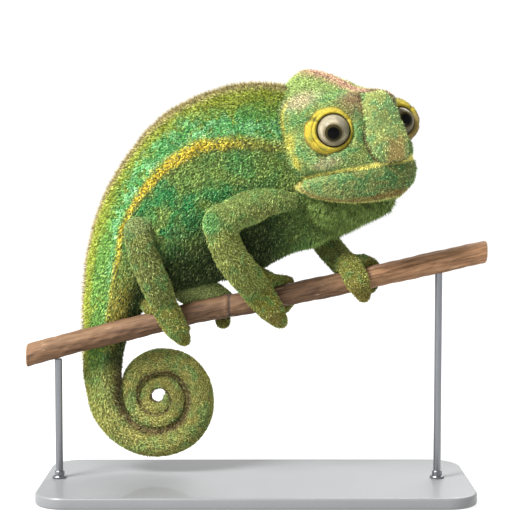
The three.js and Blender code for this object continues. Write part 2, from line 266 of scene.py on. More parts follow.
def nearest(tree: BVHTree, points: Array) -> tuple[Array, Array, Array]:
    """Finds the closest spot of a surface to each point.

    Returns:
        The spots, the numbers of their faces, and how far away they are.
    """
    found = [tree.find_nearest(spot) for spot in points.tolist()]
    spots = np.array([tuple(hit[0]) for hit in found])
    return spots, np.array([hit[2] for hit in found]), np.array([hit[3] for hit in found])


def finish_piece(piece: bpy.types.Object, nodes: Sequence[str] = ()) -> bpy.types.Object:
    """Rides a piece on the body and the nodes that it stands for, and logs it."""
    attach(piece, ROOT)
    if nodes:
        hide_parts(*nodes)
    LOG.info("%s: %d faces", piece.name, len(piece.data.polygons))
    return piece


# ---- Node trees ----------------------------------------------------------------------------


class Tree:
    """A node tree with one way to add a node and join it up."""

    def __init__(self, nodes: bpy.types.NodeTree) -> None:
        """Wraps an empty tree."""
        self.nodes = nodes

    def node(
        self,
        kind: str,
        settings: dict[str, Any] | None = None,
        sockets: dict[str | int, Any] | None = None,
    ) -> bpy.types.Node:
        """Adds a node.

        Args:
            kind: the node's type.
            settings: its own settings, set first.
            sockets: a value or a link for each input, by name or number.

        Returns:
            The new node.
        """
        made = self.nodes.nodes.new(kind)
        for name, value in (settings or {}).items():
            setattr(made, name, value)
        for key, value in (sockets or {}).items():
            if isinstance(value, Value):
                value = value.socket
            if isinstance(value, Socket):
                self.nodes.links.new(value, made.inputs[key])
            else:
                made.inputs[key].default_value = value
        return made

    def value(
        self,
        kind: str,
        settings: dict[str, Any],
        sockets: dict[str | int, Any],
        out: int = 0,
    ) -> "Value":
        """Adds a node and gives one of its outputs as a value."""
        return Value(self, self.node(kind, settings, sockets).outputs[out])


class Value:
    """A node's output that Python's operators can join with Math nodes."""

    def __init__(self, tree: Tree, socket: Socket) -> None:
        """Wraps an output of a node in the tree."""
        self.tree = tree
        self.socket = socket

    def _math(self, operation: str, first: Any, second: Any) -> "Value":
        """Adds one Math node."""
        return self.tree.value("ShaderNodeMath", {"operation": operation}, {0: first, 1: second})

    def __add__(self, other: Any) -> "Value":
        """self + other."""
        return self._math("ADD", self, other)

    __radd__ = __add__

    def __sub__(self, other: Any) -> "Value":
        """self - other."""
        return self._math("SUBTRACT", self, other)

    def __rsub__(self, other: Any) -> "Value":
        """other - self."""
        return self._math("SUBTRACT", other, self)

    def __mul__(self, other: Any) -> "Value":
        """self * other."""
        return self._math("MULTIPLY", self, other)

    __rmul__ = __mul__

    def __abs__(self) -> "Value":
        """The size of self."""
        return self._math("ABSOLUTE", self, 0.0)

    def rise(self, low: float, high: float) -> "Value":
        """Goes smoothly from 0 at low to 1 at high, or down where high is the smaller."""
        if low > high:
            return 1 - self.rise(high, low)
        ends = {"Value": self, "From Min": low, "From Max": high}
        return self.tree.value("ShaderNodeMapRange", {"interpolation_type": "SMOOTHSTEP"}, ends)

    def band(self, middle: float, half: float, soft: float) -> "Value":
        """1 within half of the middle, falling to 0 over a soft edge."""
        return abs(self - middle).rise(half + soft, max(half - soft, 0.0))


class Shader(Tree):
    """A material's node tree with the few nodes that every finish here uses."""

    def __init__(self, name: str) -> None:
        """Starts a material with an empty tree."""
        self.material = bpy.data.materials.new(name)
        self.material.use_nodes = True
        self.material.node_tree.nodes.clear()
        super().__init__(self.material.node_tree)
        self.place = self.node("ShaderNodeTexCoord").outputs["Object"]

    def attribute(self, name: str) -> Value:
        """A number stored on the mesh."""
        return self.value("ShaderNodeAttribute", {"attribute_name": name}, {}, 2)

    def vector_attribute(self, name: str) -> Socket:
        """A vector stored on the mesh."""
        return self.node("ShaderNodeAttribute", {"attribute_name": name}).outputs["Vector"]

    def noise(
        self,
        size: float,
        detail: float = 2.0,
        place: Socket | None = None,
        twist: float = 0.0,
        rough: float = 0.5,
    ) -> Value:
        """Soft random blotches of about the given size in millimetres, from 0 to 1."""
        sockets = {
            "Vector": place or self.place,
            "Scale": 1 / (size * MM),
            "Detail": detail,
            "Distortion": twist,
            "Roughness": rough,
        }
        return self.value("ShaderNodeTexNoise", {}, sockets)

    def stretched(self, turn: Triple, scale: Triple) -> Socket:
        """Object coordinates turned and scaled, for a pattern that runs one way."""
        return self.node(
            "ShaderNodeMapping", {"vector_type": "TEXTURE"},
            {"Vector": self.place, "Rotation": turn, "Scale": scale},
        ).outputs[0]

    def blend(self, share: Value | float, first: Any, second: Any) -> Socket:
        """Mixes two colours, from the first at 0 to the second at 1."""
        pair = [(*c, 1.0) if isinstance(c, tuple) else c for c in (first, second)]
        return self.node(
            "ShaderNodeMix", {"data_type": "RGBA"}, {0: share, 6: pair[0], 7: pair[1]}
        ).outputs[2]

    def shaded(self, colour: Socket, light: Value) -> Socket:
        """A colour made darker or lighter by a value about 1."""
        return self.node(
            "ShaderNodeVectorMath", {"operation": "SCALE"}, {0: colour, "Scale": light}
        ).outputs[0]

    def blob(self, vector: Socket, centre: Triple, stretch: Triple) -> Value:
        """Distance from a centre, counted in the blob's own half sizes along each axis."""
        moved = self.node("ShaderNodeVectorMath", {"operation": "SUBTRACT"}, {0: vector, 1: centre})
        sized = self.node(
            "ShaderNodeVectorMath", {"operation": "DIVIDE"}, {0: moved.outputs[0], 1: stretch}
        )
        return self.value("ShaderNodeVectorMath", {"operation": "LENGTH"}, {0: sized.outputs[0]}, 1)

    def bumped(self, height: Value, depth: float, strength: float = 1.0) -> Socket:
        """A normal bumped by a height from 0 to 1, over a depth in millimetres."""
        return self.node(
            "ShaderNodeBump", {}, {"Height": height, "Distance": depth * MM, "Strength": strength}
        ).outputs[0]

    def close(self, sockets: dict[str, Any]) -> bpy.types.Material:
        """Ends the material in one Principled shader with the given sockets."""
        surface = self.node("ShaderNodeBsdfPrincipled", {}, sockets)
        self.node("ShaderNodeOutputMaterial", {}, {"Surface": surface.outputs[0]})
        return self.material


# ---- The trunk and tail as one run of sections ---------------------------------------------


@dataclass(frozen=True)
class BodyLine:
    """The outlines that the trunk and the coiled tail follow, as in the solids."""

    back: Curve = Curve(
        [(46, 276), (24, 284.4), (-11, 286.2), (-43.1, 276.6), (-69.6, 260.4), (-94, 230.6),
         (-110.9, 199.3), (-120.4, 163), (-123.7, 132), (-124.5, 98), (-124.2, 80)], 0.5)
    belly: Curve = Curve(
        [(74, 196), (54, 175), (24, 165.5), (-4, 151), (-24, 146.5), (-48, 140),
         (-66, 135), (-80, 124), (-89, 110), (-93.6, 96), (-96, 80)], 0.5)
    girth: Curve = Curve([19, 24, 28.6, 31, 31, 29, 25, 20, 16, 13.5, 12.7])
    sideways: Curve = Curve([-9, -3, 0, 2, 4, 7, 10, 13, 16.5, 18, 18])
    coil: Curve = Curve(
        [51, 46, 44.2, 43.4, 40.4, 38, 34.6, 31, 26.2, 24, 23.2, 22, 19.8, 18, 15.4, 14,
         13.2, 13, 12.2, 10.4, 7.6, 6, 5, 4.4, 3.9, 3.6, 3.4, 3.2, 3])
    centre: Triple = (-70.3, 18, 63.2)
    first_turn: float = 5.6
    last_turn: float = 912.0
    ridge: float = 0.14
    trunk_rings: int = 170
    tail_rings: int = 330
    sides: int = 72
    pile_depth: tuple[float, float] = (2.8, 1.1)
    inner_tuck: float = -0.1

    def coil_radius(self, degrees: Array) -> Array:
        """The coil's outer radius after so many degrees of turn."""
        return self.coil.at(degrees / 45 / (len(self.coil.points) - 1))

    def sections(self) -> tuple[Array, Array, Array, Array]:
        """The run of sections from the neck to the tail's tip.

        Returns:
            Each section's top, its bottom, its half width, and its place along the body:
            0 to 1 on the trunk, and 1 to 2 on the tail.
        """
        share = np.linspace(0, 1, self.trunk_rings)
        across = self.sideways.at(share)
        top = np.insert(self.back.at(share), 1, across, axis=1)
        bottom = np.insert(self.belly.at(share), 1, across, axis=1)
        half = self.girth.at(share)
        turn = np.linspace(self.first_turn, self.last_turn, self.tail_rings)
        angle = np.radians(180 + turn)
        out = np.column_stack([np.cos(angle), np.zeros_like(angle), np.sin(angle)])
        outer, inner = self.coil_radius(turn), self.coil_radius(turn + 360)
        tail_top = np.array(self.centre) + out * outer[:, None]
        tail_bottom = np.array(self.centre) + out * inner[:, None]
        along = np.concatenate([share, 1 + turn / self.last_turn])
        halves = np.concatenate([half, (outer - inner) / 2])
        return np.vstack([top, tail_top]), np.vstack([bottom, tail_bottom]), halves, along

    def rings(self, tuck: float = 1.0) -> tuple[Array, Array, Array]:
        """The points of every section.

        Args:
            tuck: how much of the pile's depth the points lie inside the true outline.

        Returns:
            Points by ring and side, places along the body, and places down from the back.
        """
        top, bottom, half, along = self.sections()
        depth = np.interp(along, [0.9, 1.1], self.pile_depth) * tuck
        middle, rise = (top + bottom) / 2, (top - bottom) / 2
        tall = np.linalg.norm(rise, axis=1)
        inside = np.interp(along, [1.0, 1.1, 1.38, 1.42], [1, 1, 1, self.inner_tuck]) * depth
        rise = rise * ((tall - inside) / tall)[:, None]
        turn = round_turn(self.sides)
        c, s = np.cos(turn), np.sin(turn)
        thinned = np.where(s > 0, 1 - self.ridge * s * s * (along < 1)[:, None], 1)
        points = middle[:, None] + rise[:, None] * s[None, :, None]
        points[:, :, 1] += (half - depth)[:, None] * thinned * c
        return points, along, (1 - s) / 2


class BodyFields:
    """Reads places along and down the body, and the way its coat runs, near any point."""

    def __init__(self, line: BodyLine) -> None:
        """Prepares the surface that points are compared with."""
        self.line = line
        self.points, self.along, self.down = line.rings()
        rings, sides = self.points.shape[:2]
        self.outer = line.rings(0)[0].reshape(-1, 3)
        self.faces = grid_faces(rings, sides)
        self.tree = BVHTree.FromPolygons(self.points.reshape(-1, 3).tolist(), self.faces)
        ahead = np.gradient(self.points, axis=0)
        falling = self.points.mean(1, keepdims=True) * 0 + np.array([0, 0, -1.0])
        on_trunk = (self.along < 1)[:, None, None]
        self.flow = unit(unit(ahead) + falling * 0.5 * on_trunk)

    def read(self, points: Array) -> dict[str, Array]:
        """Finds the fields at each point.

        Args:
            points: places in millimetres.

        Returns:
            The fields along, down, flow and far, by name.
        """
        spots, numbers, far = nearest(self.tree, points)
        rings, sides = self.points.shape[:2]
        numbers = np.minimum(numbers, (rings - 1) * sides - 1)
        i, j = numbers // sides, numbers % sides
        k = (j + 1) % sides
        corner, ahead, beside = self.points[i, j], self.points[i + 1, j], self.points[i, k]

        def share(edge: Array) -> Array:
            """How far along an edge of its face each spot lies."""
            length = np.maximum((edge * edge).sum(1), 1e-9)
            return np.clip(((spots - corner) * edge).sum(1) / length, 0, 1)

        go, turn = share(ahead - corner), share(beside - corner)
        along = self.along[i] + (self.along[i + 1] - self.along[i]) * go
        down = self.down[j] + (self.down[k] - self.down[j]) * turn
        return {"along": along, "down": down, "flow": self.flow[i, j], "far": far}


# ---- The head's own frame ------------------------------------------------------------------


@dataclass(frozen=True)
class HeadFrame:
    """The head's frame: +X forward, +Y to its left, +Z up, with its origin between the eyes."""

    origin: Triple = (74.3, -38, 255)
    yaw: float = -56
    pitch: float = -11.5
    roll: float = -7
    mouth: Curve = Curve([(-60, -24), (-48, -24.8), (-26, -25.4), (-3, -27), (12, -28.6), (24, -29.4)])
    jaw_edge: Curve = Curve(
        [(-60, -22), (-44, -29), (-28, -39.5), (-13, -45), (0, -48.6), (12, -50), (24, -47)])
    strip_edge: Curve = Curve(
        [(3, -28), (10.8, -25.9), (14.7, -20.6), (16.4, -12.1), (16.2, -7.9), (14.1, -1.8),
         (12.2, 8.1), (10, 16), (9.4, 19)])
    strip_ends: tuple[float, float] = (-27.6, 19.3)
    strip_front: float = 2.0
    far_lift: float = 0.1
    far_from: float = 4.0

    def turn(self) -> Array:
        """The frame's axes as the columns of a matrix."""
        angles = Euler([math.radians(v) for v in (-self.roll, self.pitch, self.yaw)], "XYZ")
        return np.array(angles.to_matrix())

    def inside(self, points: Array) -> Array:
        """Points of the shared frame as forward, left and up in the head's frame."""
        return (points - np.array(self.origin)) @ self.turn()

    def outside(self, points: Array) -> Array:
        """Points of the head's frame in the shared frame."""
        return points @ self.turn().T + np.array(self.origin)

    def above(self, curve: Curve, face: Array) -> Array:
        """How far points of the head lie above a line that runs round both of its sides."""
        line = curve.at(np.linspace(0, 1, 200))
        height = np.interp(face[:, 0], line[:, 0], line[:, 1])
        return face[:, 2] - height - self.far_lift * np.maximum(face[:, 1] - self.far_from, 0)

    def within_strip(self, face: Array) -> Array:
        """How far points of the head lie inside the raised strip down the front of the snout."""
        line = self.strip_edge.at(np.linspace(0, 1, 200))
        half = np.interp(face[:, 2], line[:, 1], line[:, 0])
        low, high = self.strip_ends
        between = np.minimum(high - face[:, 2], face[:, 2] - low)
        inside = np.minimum(half - np.abs(face[:, 1]), between)
        return np.minimum(inside, face[:, 0] - self.strip_front)


# ---- The skin ------------------------------------------------------------------------------

HEAD_NODES = ("head", "lower_jaw", "throat", "snout_pad")
TRUNK_NODES = (
    "trunk_front", "trunk_rear", "tail_root", "tail_outer_coil", "tail_middle_coil", "tail_tip")
LIMB_LENGTHS = {"fore": ("upper_arm", "forearm", "foot"), "hind": ("thigh", "shank", "foot")}
LIMBS = {
    f"{side}_{end}": tuple(f"{side}_{end}_{length}" for length in lengths)
    for side in ("right", "left")
    for end, lengths in LIMB_LENGTHS.items()
}
LIMB_NODES = tuple(node for nodes in LIMBS.values() for node in nodes)


def node_shell(name: str) -> tuple[Array, Faces, Array]:
    """A CAD node's copy with its loose corners joined.

    Returns:
        Its points in millimetres, its faces, and the outward direction at each point.
    """
    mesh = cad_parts[name].data
    keys, back = np.unique(np.round(read_points(mesh), 3), axis=0, return_inverse=True)
    faces = back.ravel()[read_corners(mesh)].reshape(-1, 3)
    sides = keys[faces]
    lean = np.cross(sides[:, 1] - sides[:, 0], sides[:, 2] - sides[:, 0])
    out = np.zeros_like(keys)
    for corner in range(3):
        np.add.at(out, faces[:, corner], lean)
    return keys, [tuple(face) for face in faces.tolist()], unit(out)


@dataclass(frozen=True)
class Relief:
    """How far the skin stands out or sinks in at its features, in millimetres."""

    lip: float = 0.5
    lip_crease: float = 0.25
    jaw_ridge: float = 0.6
    jaw_fold: float = 0.8
    strip: float = 0.9
    strip_seam: float = 1.3
    seam: float = 0.9
    tail_groove: float = 0.9
    lumps: float = 0.35
    cheeks: float = 0.6
    throat: float = 1.4
    hang: float = 2.2
    brow: float = 2.0
    brow_size: float = 9.0
    mouth_left: float = 5.4
    chin_left: float = 5.4


@dataclass(frozen=True)
class Length:
    """How long the pile is on each part, in millimetres, and what is added where parts differ."""

    trunk: float = 3.0
    tail: float = -1.2
    tip: float = -0.7
    crest: float = -1.2
    limb: float = 2.1
    foot: float = -0.5
    head: float = 2.05
    strip: float = -0.3
    throat: float = 0.8
    hang: float = 1.0
    lip: float = -0.55


@dataclass(frozen=True)
class Lean:
    """How flat the pile lies, from 0 for upright to 1, and what is added where parts differ."""

    trunk: float = 0.6
    tail: float = 0.12
    crest: float = -0.3
    limb: float = 0.73
    head: float = 0.68
    throat: float = -0.06
    lip: float = 0.1
    hanging: Triple = (-0.55, -0.1, -0.83)


@dataclass
class Skin:
    """The fabric of the whole animal as one closed skin that lies inside its pile."""

    line: BodyLine = field(default_factory=BodyLine)
    head: HeadFrame = field(default_factory=HeadFrame)
    relief: Relief = Relief()
    length: Length = Length()
    lean: Lean = Lean()
    swell: float = 0.45
    limb_depth: float = 1.2
    limb_voxel: float = 1.1
    voxel: float = 1.3
    root_near: float = 1.3
    root_reach: float = 6.0
    seam_width: float = 1.6
    far_brow: Triple = (6.0, 18.0, 17.0)
    off_head: float = 20.0

    def build(self) -> bpy.types.Object:
        """Makes the skin with its fields, in full.

        Returns:
            The skin's object.
        """
        self.fields = BodyFields(self.line)
        self.shells = {name: node_shell(name) for name in (*HEAD_NODES, *LIMB_NODES)}
        trunk = (self.fields.points.reshape(-1, 3), self.fields.faces)
        whole = new_mesh("whole", *joined([self._smooth_parts(), trunk]))
        skin = voxel_skin(whole, "skin", self.voxel)
        self._drop_islands(skin)
        points = relax(read_edges(skin.data), read_points(skin.data), 3)
        write_points(skin.data, points)
        self._measure(skin)
        self._sculpt(skin)
        skin.data.shade_smooth()
        return skin

    def _smooth_parts(self) -> tuple[Array, Faces]:
        """Head and limbs as one smooth shell, taken in by the depth of the pile."""
        outer = BVHTree.FromPolygons(self.fields.outer.tolist(), self.fields.faces)
        middle = self.fields.points.mean(1)
        shells = []
        for name, (points, faces, out) in self.shells.items():
            moved = points + out * self.swell
            if name not in HEAD_NODES:
                far = nearest(outer, points)[2]
                gap = np.linalg.norm(points[:, None] - middle[None, ::8], axis=2)
                inward = unit(middle[::8][gap.argmin(1)] - points)
                root = (far < self.root_near)[:, None]
                moved = np.where(root, points + inward * self.root_reach, moved)
            shells.append((moved, faces))
        parts = voxel_skin(new_mesh("parts", *joined(shells)), "parts", self.limb_voxel)
        mesh = parts.data
        write_points(mesh, relax(read_edges(mesh), read_points(mesh), 14))
        write_points(mesh, read_points(mesh) - read_normals(mesh) * (self.swell + self.limb_depth))
        made = (read_points(mesh), [tuple(face.vertices) for face in mesh.polygons])
        bpy.data.objects.remove(parts)
        return made

    @staticmethod
    def _drop_islands(skin: bpy.types.Object) -> None:
        """Removes every loose scrap but the largest body."""
        edges = read_edges(skin.data)
        label = np.arange(len(skin.data.vertices))
        while True:
            low = np.minimum(label[edges[:, 0]], label[edges[:, 1]])
            fresh = label.copy()
            np.minimum.at(fresh, edges[:, 0], low)
            np.minimum.at(fresh, edges[:, 1], low)
            fresh = fresh[fresh]
            if (fresh == label).all():
                break
            label = fresh
        keep = label == np.bincount(label).argmax()
        if keep.all():
            return
        points = read_points(skin.data)
        number = np.cumsum(keep) - 1
        faces = [
            tuple(number[list(face.vertices)].tolist())
            for face in skin.data.polygons
            if keep[face.vertices[0]]
        ]
        mesh = bpy.data.meshes.new("skin")
        mesh.from_pydata((points[keep] * MM).tolist(), [], faces)
        skin.data = mesh

    def _gap(self, points: Array, *names: str) -> Array:
        """How far each point is from the nearest of some nodes."""
        spots, faces = joined(self.shells[name][:2] for name in names)
        return nearest(BVHTree.FromPolygons(spots.tolist(), faces), points)[2]

    def _measure(self, skin: bpy.types.Object) -> None:
        """Finds where each point lies on the animal, and how its pile runs there."""
        points, edges = read_points(skin.data), read_edges(skin.data)
        body = self.fields.read(points)
        # The solids lie outside the skin by the pile's depth, so the trunk's own distance is less.
        far = {"trunk": body["far"] + self.limb_depth, "head": self._gap(points, *HEAD_NODES)}
        for limb, nodes in LIMBS.items():
            far[limb] = self._gap(points, *nodes)
        table = np.column_stack(list(far.values()))
        owner = table.argmin(1)
        share = {name: (owner == number).astype(float) for number, name in enumerate(far)}
        near = np.partition(table, 1, axis=1)
        seam = 1 - smooth(near[:, 1] - near[:, 0], 0.0, self.seam_width)
        seam *= 1 - smooth(near[:, 0], 3.0, 6.0)
        self.fields_of = {
            "along": body["along"],
            "down": body["down"],
            "head": share["head"],
            "limb": sum(share[limb] for limb in LIMBS),
            "fore": share["right_fore"] + share["left_fore"],
            "run": np.zeros(len(points)),
            "foot": np.zeros(len(points)),
            "seam": seam,
        }
        backward = unit(np.array([0, 0, -0.25]) - self.head.turn()[:, 0])
        flow = body["flow"] * share["trunk"][:, None] + share["head"][:, None] * backward
        for limb in LIMBS:
            self._measure_limb(limb, points, share[limb] > 0, flow)
        for name in ("head", "limb", "fore", "run", "foot"):
            self.fields_of[name] = relax(edges, self.fields_of[name], 3)
        self.flow = unit(relax(edges, flow, 12))
        self.face = self.head.inside(points)
        self._measure_head(points, edges)

    def _measure_limb(self, limb: str, points: Array, mine: Array, flow: Array) -> None:
        """Adds one limb's run from its root to its foot, and the way its pile lies.

        Args:
            limb: the limb's name.
            points: the skin's points.
            mine: which of them are this limb's.
            flow: the way the pile runs at each point, which is added to.
        """
        nodes = LIMBS[limb]
        upper, lower, foot = (self.shells[node][0].mean(0) for node in nodes)
        which = np.column_stack([self._gap(points[mine], node) for node in nodes]).argmin(1)
        flow[mine] += unit(np.array([lower - upper, foot - lower, foot - lower]))[which]
        self.fields_of["run"][mine] = which / 2
        self.fields_of["foot"][mine] = which == 2

    def _measure_head(self, points: Array, edges: Array) -> None:
        """Adds the fields of the lips, the jaw, the throat and the snout's strip."""
        fields, face = self.fields_of, self.face
        skull, jaw, throat = (self._gap(points, name) for name in HEAD_NODES[:3])
        ahead = smooth(face[:, 0], -50, -46) * fields["head"] > 0.01
        fields["lip"] = np.where(ahead, self.head.above(self.head.mouth, face), self.off_head)
        fields["edge"] = np.where(ahead, self.head.above(self.head.jaw_edge, face), self.off_head)
        fields["strip"] = np.where(ahead, self.head.within_strip(face), -self.off_head)
        under = (throat < np.minimum(jaw, skull) + 0.3) & (fields["head"] > 0.5)
        fields["throat"] = relax(edges, under.astype(float), 4)

    def _sculpt(self, skin: bpy.types.Object) -> None:
        """Raises the lips and jaw line, sinks the seams, and stores every field on the mesh."""
        fields, mesh, relief = self.fields_of, skin.data, self.relief
        lip, edge, strip, throat = (fields[name] for name in ("lip", "edge", "strip", "throat"))
        points = read_points(mesh)
        mouth = bell(lip - 1.2, 1.8) * relief.lip - bell(lip + 1.5, 1.0) * relief.lip_crease
        jaw = bell(edge - 0.8, 1.6) * relief.jaw_ridge - bell(edge + 1.6, 1.1) * relief.jaw_fold
        plate = smooth(strip, -0.8, 1.2) * relief.strip - bell(strip + 0.9, 1.0) * relief.strip_seam
        hang = smooth(-self.face[:, 2], 40, 56) * throat
        brow = np.linalg.norm((self.face - np.array(self.far_brow)) / relief.brow_size, axis=1)
        move = (fields["head"] * relief.cheeks + mouth) * (1 - throat) + jaw + plate
        move += bell(brow, 1.0) * relief.brow * fields["head"]
        move -= throat * relief.throat + hang * relief.hang
        move -= self._tail_groove() * relief.tail_groove + fields["seam"] * relief.seam
        x, y, z = points.T
        lumps = np.sin(x * 0.21 + 1.3) * np.sin(y * 0.17 + 0.4) * np.sin(z * 0.19 + 2.1)
        moved = points + read_normals(mesh) * (move + lumps * relief.lumps)[:, None]
        moved += self.head.turn()[:, 1] * (self._front() * fields["head"])[:, None]
        for eye in (NEAR_EYE, FAR_EYE):
            moved = eye.sink(moved)
        write_points(mesh, moved)
        for name, values in fields.items():
            put_attribute(mesh, name, values)
        put_attribute(mesh, "face", self.face)
        self._comb(mesh)

    def _tail_groove(self) -> Array:
        """Where one turn of the tail meets the next, from 0 to 1."""
        fields = self.fields_of
        tail = smooth(fields["along"], 1.05, 1.15) * (1 - fields["limb"]) * (1 - fields["head"])
        inner = smooth(fields["along"], 1.36, 1.42)
        below = smooth(fields["down"], 0.76, 0.97)
        return (below + (1 - smooth(fields["down"], 0.03, 0.2)) * inner) * tail

    def _front(self) -> Array:
        """How far the front of the mouth moves to the head's left: the lip out, the chin in."""
        forward, left, height = self.face.T
        lip = bell(height + 29.5, 4.0) * smooth(forward, -14, 6) * smooth(left, -6, 10)
        chin = bell(height + 49, 6.0) * smooth(forward, -16, 4) * smooth(left, 2, 14)
        return lip * self.relief.mouth_left - chin * self.relief.chin_left

    def _comb(self, mesh: bpy.types.Mesh) -> None:
        """Stores the pile's own direction, length and lean at each point."""
        fields, length, lean = self.fields_of, self.length, self.lean
        limb, head, throat = (fields[name] for name in ("limb", "head", "throat"))
        trunk = 1 - np.clip(head + limb, 0, 1)
        tail = smooth(fields["along"], 1.0, 1.12) * trunk
        tip = smooth(fields["along"], 1.4, 2.0) * trunk
        front = 1 - smooth(fields["along"], 0.6, 1.0)
        crest = (1 - smooth(fields["down"], 0.004, 0.03)) * front * trunk
        hang = smooth(-self.face[:, 2], 46, 58) * throat
        lip = bell(fields["lip"] - 1.0, 1.8) * (1 - throat) * head
        long = trunk * length.trunk + tail * length.tail + tip * length.tip + crest * length.crest
        long += limb * (length.limb + fields["foot"] * length.foot)
        long += head * (length.head + smooth(fields["strip"], -1, 1) * length.strip)
        long += throat * length.throat + hang * length.hang + lip * length.lip
        lying = trunk * lean.trunk + tail * lean.tail + crest * lean.crest + limb * lean.limb
        lying += head * lean.head + throat * lean.throat + lip * lean.lip
        flow = self.flow * (1 - throat)[:, None] + throat[:, None] * unit(np.array(lean.hanging))
        put_attribute(mesh, "comb", unit(flow))
        put_attribute(mesh, "pile", long * MM)
        put_attribute(mesh, "lean", lying)


# ---- Markings and finishes -----------------------------------------------------------------


@dataclass(frozen=True)
class Palette:
    """The colours of the pile."""

    crest: Triple = paint(172, 160, 108)
    crest_hair: Triple = paint(104, 70, 48)
    lime: Triple = paint(146, 156, 54)
    back_green: Triple = paint(112, 158, 72)
    teal_green: Triple = paint(90, 162, 90)
    teal_stripe: Triple = paint(146, 204, 146)
    yellow: Triple = paint(240, 208, 56)
    low_stripe: Triple = paint(164, 148, 56)
    orange_brown: Triple = paint(96, 66, 22)
    flank: Triple = paint(124, 150, 72)
    flank_teal: Triple = paint(52, 140, 76)
    # The belly's dark green: partly its own colour, partly painted shade under the body.
    belly: Triple = paint(36, 56, 6)
    limb: Triple = paint(108, 124, 62)
    limb_low: Triple = paint(110, 110, 40)
    tan: Triple = paint(146, 124, 66)
    pale_green: Triple = paint(182, 198, 122)
    fleck: Triple = paint(184, 192, 132)
    tail: Triple = paint(150, 146, 74)
    tail_teal: Triple = paint(116, 148, 80)
    tail_cream: Triple = paint(194, 178, 104)
    # Partly painted shade in the groove between the tail's turns.
    tail_edge: Triple = paint(84, 58, 38)
    face: Triple = paint(128, 146, 76)
    face_teal: Triple = paint(96, 142, 82)
    casque: Triple = paint(132, 154, 82)
    pink: Triple = paint(176, 132, 112)
    brow: Triple = paint(136, 104, 78)
    pale_pink: Triple = paint(188, 170, 138)
    nape: Triple = paint(192, 180, 74)
    lip: Triple = paint(252, 244, 132)
    jaw: Triple = paint(124, 136, 76)
    jaw_teal: Triple = paint(86, 130, 74)
    jaw_line: Triple = paint(150, 118, 62)
    throat: Triple = paint(80, 102, 38)
    throat_light: Triple = paint(108, 132, 62)
    strip: Triple = paint(176, 188, 108)
    strip_teal: Triple = paint(136, 178, 112)
    strip_edge: Triple = paint(82, 62, 34)
    nose: Triple = paint(206, 180, 112)


